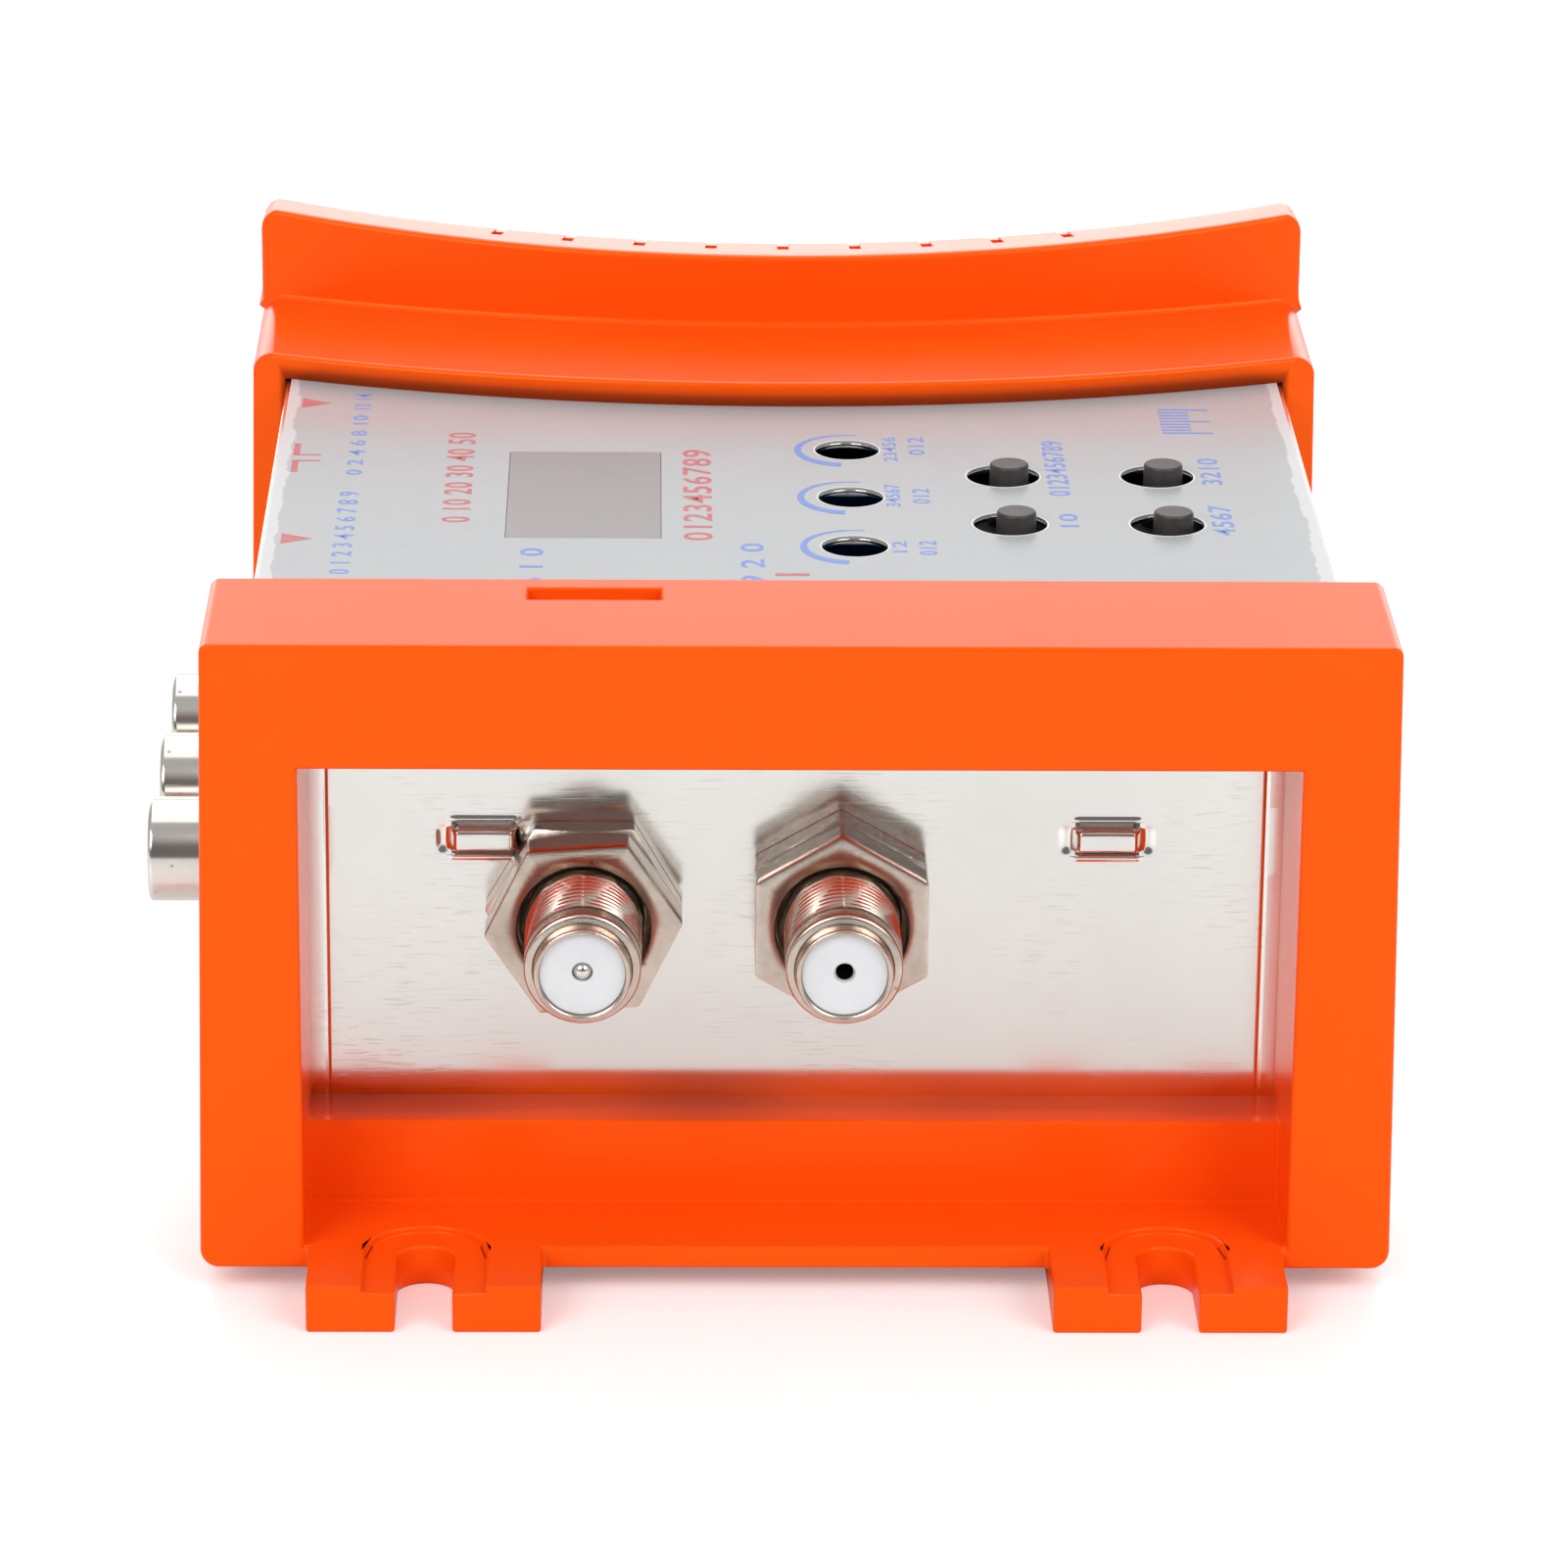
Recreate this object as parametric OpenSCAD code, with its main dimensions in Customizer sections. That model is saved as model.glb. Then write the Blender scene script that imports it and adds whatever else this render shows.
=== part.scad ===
// RF modulator: a tinplate case held between two moulded end caps.
// The case is centred on X = 0 while it is drawn, with the face of the front
// cap at Y = 0 and the floor at Z = 0. in_frame() then moves every piece, so
// that the origin is under the middle of the whole outline.

/* [Case] */
// Outer width of the tin case
case_w = 88.4; // [84:0.1:96]
// Outer length of the tin case
case_l = 75.5; // [74:0.1:84]
// Outer height of the tin case, over both covers
case_h = 49.1; // [48:0.1:54]
// Thickness of the tinplate
sheet_t = 0.5; // [0.4:0.05:0.7]
// Depth of the skirt that each cover folds down over the case walls
cover_skirt = 5; // [3:0.5:7]
// Thickness of the printed label film
label_t = 0.2; // [0.1:0.05:0.4]

/* [End caps] */
// Side wall of the caps at their top edge
cap_side_t = 3.0; // [2.4:0.1:4]
// Draft of the cap sides, over their whole height
cap_draft = 0.8; // [0.2:0.1:1.5]
// Roof of the caps over the label
cap_roof_t = 2.1; // [1.6:0.1:3]
// Floor of the caps under the case
cap_floor_t = 1.9; // [1.5:0.1:3]
// Inner walls of the moulding
cap_web_t = 1.9; // [1.5:0.1:2.4]
// Gap between a cap and the case on each side
cap_fit = 0.15; // [0.1:0.05:0.4]
// Radius of the top edges of the front cap
front_top_r = 0.8; // [0.4:0.1:2]
// Radius of the top edges of the rear cap
rear_top_r = 2.0; // [0.8:0.1:2.5]
// Radius of the bottom edges of both caps
cap_base_r = 1.5; // [0.5:0.1:1.8]
// Length of the cap floor that runs on under the case
floor_reach = 9; // [7:0.5:14]

/* [Front cap] */
// Depth of the recess, from the cap's face to the tin end plate
recess_d = 15.0; // [13:0.1:18]
// Length of roof and sides that overlap the case
front_lap = 1.7; // [1.2:0.1:4]
// Margin between the recess and the side of the case
recess_side = 4.45; // [3.2:0.05:6]
// Height of the beam over the recess
beam_h = 10.4; // [8:0.1:13]
// Height of the ledge at the foot of the end plate, above the floor flange
ledge_h = 7.1; // [5:0.1:8]
// Depth of the floor flange in front of the ledge
ledge_y = 9.4; // [8:0.1:11]
// Centre of the latch pocket, from the middle of the cap
latch_x = -16.4; // [-24:0.1:24]
// Width of the latch pocket
latch_w = 10.7; // [8:0.1:14]
// Length of the latch pocket
latch_l = 3.0; // [2:0.1:3.4]
// Length of the lip between the latch pocket and the cap's far edge
latch_lip = 2.3; // [1.8:0.1:3]

/* [Rear cap] */
// Radius of the plan arcs of the lip, the bar and the rear wall
arc_r = 128; // [110:1:170]
// Length of the deck, from its lip to the vent bar, on the middle line
deck_l = 17.6; // [14:0.1:22]
// Depth of the vent bar, from its front to the rear wall's face
bar_d = 6.7; // [5.6:0.1:9]
// Height of the vent bar above the deck at its ends
bar_h = 8.4; // [6:0.1:11]
// Dip of the bar's top, from its ends to the middle line
bar_dish = 1.85; // [0.5:0.05:2.4]
// Rear wall of the cap
rear_wall_t = 2.1; // [1.8:0.1:3]
// Space between the case and the rear wall on the middle line
rear_gap = 2.5; // [2:0.1:5]
// Number of vent slots
vent_n = 9; // [5:2:11]
// Spacing of the vent slots
vent_pitch = 6.4; // [4:0.1:7]
// Width of a vent slot
vent_w = 1.0; // [0.8:0.1:1.6]
// Length of a vent slot in the bar's top
vent_l = 3.0; // [2.6:0.1:4]
// Depth of the vent slots below the deck
vent_drop = 12; // [4:0.5:24]

/* [Mounting tabs] */
// Spacing of the tabs across the part
tab_pitch = 59.8; // [54:0.1:64]
// Width of a tab
tab_w = 18.8; // [15:0.1:20]
// Reach of the tabs beyond the ends of the part
tab_reach = 7.9; // [6:0.1:11]
// Drop of the tabs below the caps
tab_drop = 2.1; // [1.5:0.1:3]
// Length of each tab's pad under the cap
tab_root = 6; // [4.6:0.1:8]
// Width of the open screw slot
slot_w = 4.6; // [4.2:0.1:6]
// Setback of the slot's round end from the cap's end face
slot_inset = 0.75; // [0.5:0.05:2]
// Width of the counterbore round the slot
sink_w = 9.9; // [8:0.1:11]
// Depth of the counterbore
sink_d = 0.6; // [0.3:0.1:1.2]

/* [Coaxial jacks] */
// Height of the jack axes above the floor
coax_z = 28.2; // [27:0.1:31]
// Place of the antenna jack, from the middle of the case
antenna_x = -17.25; // [-20:0.05:-15]
// Place of the output jack, from the middle of the case
output_x = 3.65; // [2:0.05:7]
// Diameter of the threaded barrel
coax_d = 9.52; // [9:0.01:9.8]
// Length of the barrel in front of the nut
coax_l = 10; // [8:0.1:11]
// Size of the hexagons across their flats
hex_af = 14; // [13.6:0.1:14.6]
// Thickness of the jack's own hexagon
hex_t = 2.6; // [2:0.1:3]
// Thickness of the lock nut
nut_t = 3.6; // [3:0.1:4.4]
// Diameter of the white insulator
coax_core_d = 7.0; // [6.4:0.1:7.4]
// Diameter of the centre contact
coax_pin_d = 1.5; // [1.2:0.1:1.6]

/* [Side jacks] */
// Outer diameter of a phono jack's shell
phono_d = 8.6; // [8:0.1:8.8]
// Wall of the shell
phono_wall = 0.6; // [0.5:0.05:0.8]
// Reach of the shells beyond the side of the case
phono_reach = 8.8; // [8:0.1:12]
// Distance from the case's front end to the first jack
phono_y = 6.2; // [6:0.1:8]
// Height of the jack axes above the main board
phono_rise = 8.35; // [6:0.05:8.5]
// Width of the video socket's shell
socket_w = 14.9; // [14.6:0.1:15.2]
// Height of the video socket's shell
socket_h = 5.6; // [5.2:0.1:6]
// Distance from the case's rear end to the video socket's centre
socket_set = 18.5; // [18:0.1:20]
// Travel of the switch knob
switch_travel = 2.0; // [1:0.1:2.4]

/* [Top controls] */
// Centre of the display window off the middle line, as a share of the case's width
window_x_share = -0.198; // [-0.22:0.002:-0.17]
// Distance from the case's front end to the window's centre, as a share of the case's length
window_y_share = 0.4033; // [0.38:0.0001:0.42]
// Width of the window
window_w = 13.0; // [11:0.1:15]
// Length of the window
window_l = 23.7; // [20:0.1:26]
// Row of trimmers off the middle line, as a share of the case's width
trimmer_x_share = 0.0566; // [0.04:0.0001:0.07]
// Distance from the case's front end to the first trimmer, as a share of its length
trimmer_y_share = 0.2199; // [0.21:0.0001:0.24]
// Spacing of the trimmers, as a share of the case's length
trimmer_pitch_share = 0.1755; // [0.16:0.0005:0.18]
// Number of trimmers
trimmer_n = 3; // [1:1:3]
// Diameter of the trimmers' access holes
trimmer_hole_d = 5.5; // [5:0.1:6]
// First column of buttons off the middle line, as a share of the case's width
button_x_share = 0.2053; // [0.19:0.0001:0.22]
// Distance from the case's front end to the first row of buttons, as a share of its length
button_y_share = 0.3007; // [0.28:0.0001:0.33]
// Spacing of the buttons, both ways
button_pitch = 13.15; // [11:0.05:14]
// Diameter of a button's plunger
button_d = 3.4; // [3:0.1:3.8]
// Diameter of the button holes
button_hole_d = 6.2; // [5.8:0.1:7]
// Height of the buttons above the label
button_rise = 1.2; // [0.8:0.1:2]
// Travel of a button
button_travel = 0.25; // [0.2:0.05:0.3]
// Sideways set of the control board's parts in their holes
board_shift = 0.5; // [0:0.1:0.8]

/* [Boards] */
// Thickness of the circuit boards
board_t = 1.6; // [1.2:0.1:2]
// Height of the main board's top above the case's underside, as a share of the case's height
main_rise_share = 0.3666; // [0.34:0.0002:0.37]
// Distance from the label's top down to the control board's top
control_drop = 7.7; // [7.4:0.1:9]
// Margin between the main board and the case walls
board_margin = 1.2; // [1:0.1:2]

/* [Hidden] */
$fn = 48;
over = 1;
touch_fit = 0.05;
slide_fit = 0.06;
loose_fit = 0.3;
corner_steps = 6;
disc_fn = 360;

// Heights
case_z = tab_drop + cap_floor_t;
case_top_z = case_z + case_h;
label_top_z = case_top_z + label_t;
deck_z = label_top_z + cap_roof_t;
flange_z = case_z;
ledge_z = flange_z + ledge_h;
recess_top_z = deck_z - beam_h;
main_z = case_z + main_rise_share * case_h;
control_z = label_top_z - control_drop;

// Lengths along Y, from the front face
case_y = recess_d;
case_end_y = case_y + case_l;
front_cap_l = recess_d + front_lap;
rear_y = case_end_y + rear_gap + rear_wall_t;
bar_y = rear_y - bar_d;
lip_y = bar_y - deck_l;

// Widths across X
cap_top_w = case_w + 2 * (cap_side_t + cap_fit);
cap_base_w = cap_top_w + 2 * cap_draft;
recess_w = case_w - 2 * recess_side;
arc_sag = sag(cap_top_w / 2);
end_y = rear_y + arc_sag;

// Places of the top controls in the case
window_x = window_x_share * case_w;
window_y = window_y_share * case_l;
trimmer_x = trimmer_x_share * case_w;
trimmer_y = trimmer_y_share * case_l;
trimmer_pitch = trimmer_pitch_share * case_l;
button_x = button_x_share * case_w;
button_y = button_y_share * case_l;

// Place of the power inlet at the case's rear end
dc_x_share = 0.2941;
dc_x = dc_x_share * case_w;

// Move from the drawing place to the middle of the outline
mid_x = (case_w / 2 + phono_reach - cap_base_w / 2) / 2;
mid_y = -end_y / 2;

// Inner parts, as shares of the board that carries them
capacitor_share = [[0.03, 0.37], [0.15, 0.37], [0.27, 0.28]];
chip_share = [[-0.12, 0.16], [0.12, 0.10]];
crystal_share = [-0.12, 0.35];
regulator_share = [0.43, -0.20];

// Small parts inside the case
post_af = 5;
post_bore_d = 2.6;
screw_d = 2.4;
screw_head_d = 4.6;
screw_head_t = 1.6;
screw_l = 5;
tact_w = 6;
tact_h = 3.5;
tact_floor_t = 0.8;
tact_lid_t = 0.5;
tact_collar = 0.5;
trimmer_w = 6.6;
trimmer_h = 4.6;
trimmer_rotor_d = 4.2;
trimmer_floor_t = 1.2;
trimmer_lid_t = 0.6;
trimmer_collar = 0.4;
trimmer_stand = 0.6;
driver_slot_w = 0.7;
driver_slot_d = 0.9;
led_d = 3;
led_l = 4.4;
led_x = 12;
led_rise = 5;
dc_w = 9;
dc_h = 11;
dc_l = 14;
dc_bore_d = 6;
dc_port_d = 10.5;
dc_pin_d = 2;
dc_rise = 6.5;
dc_back_t = 3;
can_w_share = 0.43;
can_l_share = 0.29;
can_h = 14;
can_t = 0.3;
chip_w = 14;
chip_t = 1.4;
crystal_w = 11;
crystal_d = 4.6;
crystal_h = 3.5;
capacitor_d = 8;
capacitor_h = 11.5;
regulator_w = 10;
regulator_d = 4.4;
regulator_h = 15;
header_w = 2.5;
header_share = 0.21;

// Details of the jacks and the switch
antenna_nut_turn = 4;
output_nut_turn = 30;
groove_d = 12.4;
groove_t = 0.4;
nut_recess_d = 10.9;
nut_recess_t = 1.4;
thread_depth = 0.45;
stub_d = 9;
stub_l = 4;
core_set = 0.5;
phono_block_d = 12;
phono_block_w = 9.0;
phono_neck = 0.45;
side_gap = 0.4;
phono_pin_d = 3.3;
phono_sleeve_t = 0.35;
phono_set = 1.2;
socket_t = 0.4;
socket_d = 11.4;
tongue_w = 11.2;
tongue_t = 1.0;
tongue_back_t = 2;
switch_body_l = 6.8;
switch_body_w = 5;
switch_body_h = 4.6;
knob_l = 2.4;
knob_h = 1.8;
knob_reach = 2.4;
knob_foot_l = 3.2;
knob_foot_h = 2.6;
knob_foot_w = 1.6;

// Details of the case and the caps
bridge_x = 25.4;
bridge_z = 33.7;
bridge_w = 4.6;
bridge_h = 1.9;
bridge_slit = 0.8;
bridge_rise = 1.0;
lug_inset_share = 0.125;
film_t = 0.7;
label_margin = 0.4;
latch_tongue_l = 3.4;
rear_floor_y = lip_y - floor_reach + arc_sag;
core_w = recess_side - cap_web_t;
front_floor_y = front_cap_l + floor_reach;
cap_screw_share = 0.33;
cap_screw_x = cap_screw_share * case_w;
cap_screw_inset = 4;
cap_screw_head_d = 5.6;
cap_screw_head_t = 1.4;
cap_screw_d = 3;
cap_screw_l = 6;

// Colours, as the photograph shows them
orange = [1.0, 0.36, 0.11];
tin = [0.80, 0.78, 0.73];
film = [0.79, 0.80, 0.81];
nickel = [0.76, 0.74, 0.70];
brass_tint = [0.80, 0.66, 0.36];
white = [0.93, 0.93, 0.90];
black = [0.09, 0.09, 0.10];
charcoal = [0.20, 0.19, 0.19];
board_green = [0.12, 0.36, 0.22];
blue = [0.16, 0.36, 0.62];

// Shared moves and shapes

module in_frame(tint) color(tint) translate([mid_x, mid_y, 0]) children();

// A box centred on X, from y0 to y1 and from z0 to z1
module slab(w, y0, y1, z0, z1) translate([-w / 2, y0, z0]) cube([w, y1 - y0, z1 - z0]);

// A box centred in plan on the origin and standing on Z = 0
module block(w, l, h) translate([-w / 2, -l / 2, 0]) cube([w, l, h]);

// A tube along Z from z0 to z1
module tube(d, bore, z0, z1) difference() {
    translate([0, 0, z0]) cylinder(d = d, h = z1 - z0);
    translate([0, 0, z0 - over]) cylinder(d = bore, h = z1 - z0 + 2 * over);
}

module hexagon(af, z0, z1) translate([0, 0, z0]) cylinder(d = af / cos(30), h = z1 - z0, $fn = 6);

// Local Z runs out of the front end plate, towards the viewer
module at_front(x) translate([x, case_y, coax_z]) rotate([90, 0, 0]) children();

// Local Z runs out of the left side wall
module at_side(y, z) translate([-case_w / 2, y, z]) rotate([0, -90, 0]) children();

// Local Z runs out of the case's rear end
module at_rear(x, z) translate([x, case_end_y, z]) rotate([-90, 0, 0]) children();

module each_phono() for (i = [0:2])
    at_side(case_y + phono_y + i * phono_pitch, main_z + phono_rise) children();

module each_trimmer() for (i = [0:trimmer_n - 1]) at_trimmer(i) children();

module at_trimmer(i)
    translate([trimmer_x + board_shift, case_y + trimmer_y + i * trimmer_pitch, 0]) children();

module each_button() for (i = [0:1], j = [0:1]) at_button(i, j) children();

module at_button(i, j) translate([board_shift, 0, 0])
    translate([button_x + i * button_pitch, case_y + button_y + j * button_pitch, 0]) children();

// Round part of the cap's cross-section, from angle a0 to a1
function corner(x, z, r, a0, a1) =
    [for (i = [0:corner_steps]) let (a = a0 + (a1 - a0) * i / corner_steps) [x + r * cos(a), z + r * sin(a)]];

function cap_outline(top_r) = concat(
    corner(cap_base_w / 2 - cap_base_r, tab_drop + cap_base_r, cap_base_r, -90, 0),
    corner(cap_top_w / 2 - top_r, deck_z - top_r, top_r, 0, 90),
    corner(-cap_top_w / 2 + top_r, deck_z - top_r, top_r, 90, 180),
    corner(-cap_base_w / 2 + cap_base_r, tab_drop + cap_base_r, cap_base_r, 180, 270));

// The outer block of a cap, from y0 to y1, with drafted sides
module cap_block(y0, y1, top_r) translate([0, y1, 0]) rotate([90, 0, 0])
    linear_extrude(height = y1 - y0) polygon(cap_outline(top_r));

// All that lies behind a plan arc whose nearest point is at y
module behind_arc(y, z0, z1) translate([0, y + arc_r, z0])
    cylinder(r = arc_r, h = z1 - z0, $fn = disc_fn);

// How far a plan arc has bent back at a distance x from the middle line
function sag(x) = arc_r - sqrt(pow(arc_r, 2) - pow(x, 2));

// A mounting tab that points to -Y, with its cap's end face at Y = 0
module tab() slab(tab_w, -tab_reach, tab_root, 0, flange_z);

module tab_slot() translate([0, -slot_inset, 0]) {
    translate([0, 0, -over]) cylinder(d = slot_w, h = flange_z + 2 * over);
    slab(slot_w, -tab_reach - over, 0, -over, flange_z + over);
    translate([0, 0, flange_z - sink_d]) cylinder(d = sink_w, h = sink_d + over);
    slab(sink_w, -tab_reach - over, 0, flange_z - sink_d, flange_z + over);
}

module each_tab() for (side = [-1, 1]) translate([side * tab_pitch / 2, 0, 0]) children();

module rear_end() translate([0, end_y, 0]) mirror([0, 1, 0]) children();

// Screw places under the case, for the two screws of each cap
module each_cap_screw() for (side = [-1, 1]) {
    translate([side * cap_screw_x, front_floor_y - cap_screw_inset, tab_drop]) children();
    translate([side * cap_screw_x, rear_floor_y + cap_screw_inset, tab_drop]) children();
}

module cap_screw_holes() each_cap_screw() {
    translate([0, 0, -over]) cylinder(d = cap_screw_head_d + 2 * touch_fit, h = over + cap_screw_head_t);
    translate([0, 0, -over]) cylinder(d = cap_screw_d + 2 * touch_fit, h = cap_screw_l + 2 * over);
}

// End caps

module front_end_cap() in_frame(orange) difference() {
    union() {
        cap_block(0, front_cap_l, front_top_r);
        intersection() {
            cap_block(0, front_floor_y, front_top_r);
            slab(case_w, front_cap_l - over, front_floor_y, 0, case_z);
        }
        each_tab() tab();
    }
    slab(recess_w, -over, case_y + over, ledge_z, recess_top_z);
    slab(recess_w, -over, ledge_y, flange_z, ledge_z + over);
    slab(case_w + 2 * cap_fit, case_y, front_floor_y + over, case_z, label_top_z);
    front_cores();
    latch_pocket();
    each_tab() tab_slot();
    cap_screw_holes();
}

// Hollows that core the pillars, the beam and the ledge from behind
module front_cores() {
    pillar_x = recess_w / 2 + cap_web_t;
    for (side = [-1, 1]) translate([side * (pillar_x + core_w / 2), 0, 0])
        slab(core_w, cap_web_t, case_y + over, case_z + cap_web_t, label_top_z - cap_web_t);
    slab(recess_w, cap_web_t, case_y + over, recess_top_z + cap_web_t, label_top_z);
    slab(recess_w - 2 * cap_web_t, ledge_y + cap_web_t, case_y + over, case_z, ledge_z - cap_web_t);
}

module latch_pocket() translate([latch_x, front_cap_l - latch_lip, 0])
    slab(latch_w, -latch_l, 0, label_top_z - over, deck_z + over);

module rear_end_cap() in_frame(orange) difference() {
    union() {
        intersection() {
            cap_block(lip_y, end_y, rear_top_r);
            behind_arc(lip_y, 0, deck_z + over);
        }
        vent_bar();
        intersection() {
            cap_block(rear_floor_y, end_y, rear_top_r);
            slab(case_w, rear_floor_y, lip_y + arc_sag, 0, case_z);
        }
        rear_end() each_tab() tab();
    }
    behind_arc(rear_y, flange_z, deck_z + bar_h + over);
    slab(case_w + 2 * cap_fit, min(lip_y, rear_floor_y) - over, case_end_y, case_z, label_top_z);
    rear_hollow();
    vent_slots();
    rear_ports();
    rear_end() each_tab() tab_slot();
    cap_screw_holes();
}

// The raised bar, with its top dished along a large cylinder
module vent_bar() difference() {
    intersection() {
        bar_block();
        behind_arc(bar_y, deck_z - over, deck_z + bar_h + over);
    }
    dish_r = (pow(cap_top_w / 2, 2) + pow(bar_dish, 2)) / (2 * bar_dish);
    translate([0, bar_y - over, deck_z + bar_h - bar_dish + dish_r])
        rotate([-90, 0, 0]) cylinder(r = dish_r, h = end_y - bar_y + 2 * over, $fn = disc_fn);
}

// Block of the bar, with round top corners
module bar_block() translate([0, end_y, 0]) rotate([90, 0, 0]) linear_extrude(height = end_y - bar_y)
    polygon(concat(
        corner(cap_top_w / 2 - rear_top_r, deck_z + bar_h - rear_top_r, rear_top_r, 0, 90),
        corner(-cap_top_w / 2 + rear_top_r, deck_z + bar_h - rear_top_r, rear_top_r, 90, 180),
        [[-cap_top_w / 2, deck_z - rear_top_r], [cap_top_w / 2, deck_z - rear_top_r]]));

// Space between the case and the rear wall, which opens up into the bar
module rear_hollow() {
    inner_w = case_w + 2 * cap_fit;
    difference() {
        slab(inner_w, case_end_y - over, end_y, case_z, label_top_z);
        behind_arc(rear_y - rear_wall_t, 0, deck_z);
    }
    difference() {
        intersection() {
            slab(inner_w, bar_y, end_y, label_top_z - over, deck_z + bar_h - bar_dish - cap_roof_t);
            behind_arc(bar_y + cap_web_t, 0, deck_z + bar_h);
        }
        behind_arc(rear_y - rear_wall_t, 0, deck_z + bar_h);
    }
}

// Slots on lines through the centre of the rear arc
module vent_slots() for (i = [0:vent_n - 1]) {
    turn = (i - (vent_n - 1) / 2) * vent_pitch / arc_r * 180 / PI;
    translate([0, rear_y + arc_r, 0]) rotate(turn) translate([0, -arc_r, 0])
        slab(vent_w, -vent_l, over, deck_z - vent_drop, deck_z + bar_h + over);
}

module rear_ports() {
    at_rear(dc_x, main_z + dc_rise) cylinder(d = dc_port_d, h = end_y);
    at_rear(-led_x, main_z + led_rise) cylinder(d = led_d + 2 * touch_fit, h = end_y);
}

module cap_screws() in_frame(nickel) each_cap_screw() {
    cylinder(d = cap_screw_head_d, h = cap_screw_head_t);
    cylinder(d = cap_screw_d, h = cap_screw_l);
}

// Case

module chassis_frame() in_frame(tin) {
    difference() {
        wall_ring(case_z + sheet_t, case_top_z - sheet_t);
        for (x = [antenna_x, output_x])
            at_front(x) translate([0, 0, -sheet_t - over])
                cylinder(d = stub_d + 2 * touch_fit, h = sheet_t + 2 * over);
        bridge_slits();
        each_phono() translate([0, 0, -2 * sheet_t - over])
            cylinder(d = phono_d + 2 * touch_fit, h = 2 * sheet_t + 2 * over);
        at_side(case_y + socket_y, main_z) translate([0, 0, -2 * sheet_t - over])
            side_hole(socket_h, socket_w, 2 * sheet_t + 2 * over);
        at_side(case_y + switch_y, main_z + switch_body_h / 2) translate([0, 0, -2 * sheet_t - over])
            switch_window();
        at_rear(dc_x, main_z) translate([0, 0, -sheet_t - over]) dc_hole();
        at_rear(-led_x, main_z + led_rise) translate([0, 0, -sheet_t - over])
            cylinder(d = led_d + 2 * loose_fit, h = sheet_t + 2 * over);
    }
    lanced_bridges();
    board_lugs();
}

// Four walls, set in by one sheet so that the covers fold over the sides
module wall_ring(z0, z1) difference() {
    slab(case_w - 2 * sheet_t, case_y, case_end_y, z0, z1);
    slab(case_w - 4 * sheet_t, case_y + sheet_t, case_end_y - sheet_t, z0 - over, z1 + over);
}

// Opening in the side wall that starts at local X = 0 and is centred on Y
module side_hole(h, w, t) translate([-touch_fit, -w / 2 - touch_fit, 0])
    cube([h + 2 * touch_fit, w + 2 * touch_fit, t]);

module switch_window() translate([-knob_h / 2 - loose_fit, -(knob_l + switch_travel) / 2 - loose_fit, 0])
    cube([knob_h + 2 * loose_fit, knob_l + switch_travel + 2 * loose_fit, 2 * sheet_t + 2 * over]);

module dc_hole() translate([-dc_w / 2 - touch_fit, -dc_h - touch_fit, 0])
    cube([dc_w + 2 * touch_fit, dc_h + 2 * touch_fit, sheet_t + 2 * over]);

module each_bridge() for (x = [-bridge_x, bridge_x]) translate([x, 0, bridge_z]) children();

module bridge_slits() each_bridge() for (side = [-1, 1])
    translate([0, 0, side * (bridge_h + bridge_slit) / 2])
        slab(bridge_w, case_y - over, case_y + sheet_t + over, -bridge_slit / 2, bridge_slit / 2);

// Strips pushed out of the end plate between two slits
module lanced_bridges() each_bridge()
    slab(bridge_w, case_y - bridge_rise, case_y, -bridge_h / 2, bridge_h / 2);

// Lugs bent in from the side walls, on which the main board rests
module board_lugs() for (side = [-1, 1], end = [-1, 1])
    translate([side * (case_w / 2 - 2 * sheet_t - board_margin), 0, main_z - board_t])
        translate([0, main_mid_y + end * (1 / 2 - lug_inset_share) * case_l, 0])
        translate([-board_margin - sheet_t, -board_margin, -sheet_t])
            cube([2 * board_margin + 2 * sheet_t, 2 * board_margin, sheet_t]);

// A folded cover: a panel with a skirt down each long side
module cover_shell(z_panel, z_skirt) {
    slab(case_w, case_y, case_end_y, min(z_panel, z_panel + sheet_t), z_panel + sheet_t);
    for (side = [-1, 1]) translate([side * (case_w - sheet_t) / 2, 0, 0])
        slab(sheet_t, case_y, case_end_y, min(z_panel, z_skirt), max(z_panel + sheet_t, z_skirt));
}

module top_cover() in_frame(tin) difference() {
    union() {
        cover_shell(case_top_z - sheet_t, case_top_z - cover_skirt);
        translate([latch_x, case_y, 0])
            slab(latch_w - 2 * loose_fit, -latch_tongue_l, over, case_top_z - sheet_t, case_top_z);
    }
    translate([0, 0, case_top_z - sheet_t - over]) top_openings(sheet_t + 2 * over, touch_fit);
}

// Holes for the window, trimmers and buttons, each larger by grow all round
module top_openings(h, grow) {
    translate([window_x, case_y + window_y, 0]) block(window_w + 2 * grow, window_l + 2 * grow, h);
    for (i = [0:trimmer_n - 1]) translate([trimmer_x, case_y + trimmer_y + i * trimmer_pitch, 0])
        cylinder(d = trimmer_hole_d + 2 * grow, h = h);
    for (i = [0:1], j = [0:1])
        translate([button_x + i * button_pitch, case_y + button_y + j * button_pitch, 0])
            cylinder(d = button_hole_d + 2 * grow, h = h);
}

module bottom_cover() in_frame(tin) difference() {
    cover_shell(case_z, case_z + cover_skirt);
    each_cap_screw() cylinder(d = cap_screw_d + 2 * touch_fit, h = cap_screw_l);
}

module top_label() in_frame(film) difference() {
    slab(case_w - 2 * label_margin, front_cap_l + label_margin, bar_y, case_top_z, label_top_z);
    translate([0, 0, case_top_z - over]) top_openings(label_t + 2 * over, 0);
}

module display_window() in_frame([0.62, 0.62, 0.63, 0.8])
    translate([window_x, case_y + window_y, label_top_z - film_t])
        block(window_w - 2 * touch_fit, window_l - 2 * touch_fit, film_t);

// Coaxial jacks

// Under its nut the barrel is drawn at the root of its thread
coax_root_d = coax_d - 2 * thread_depth;

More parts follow.
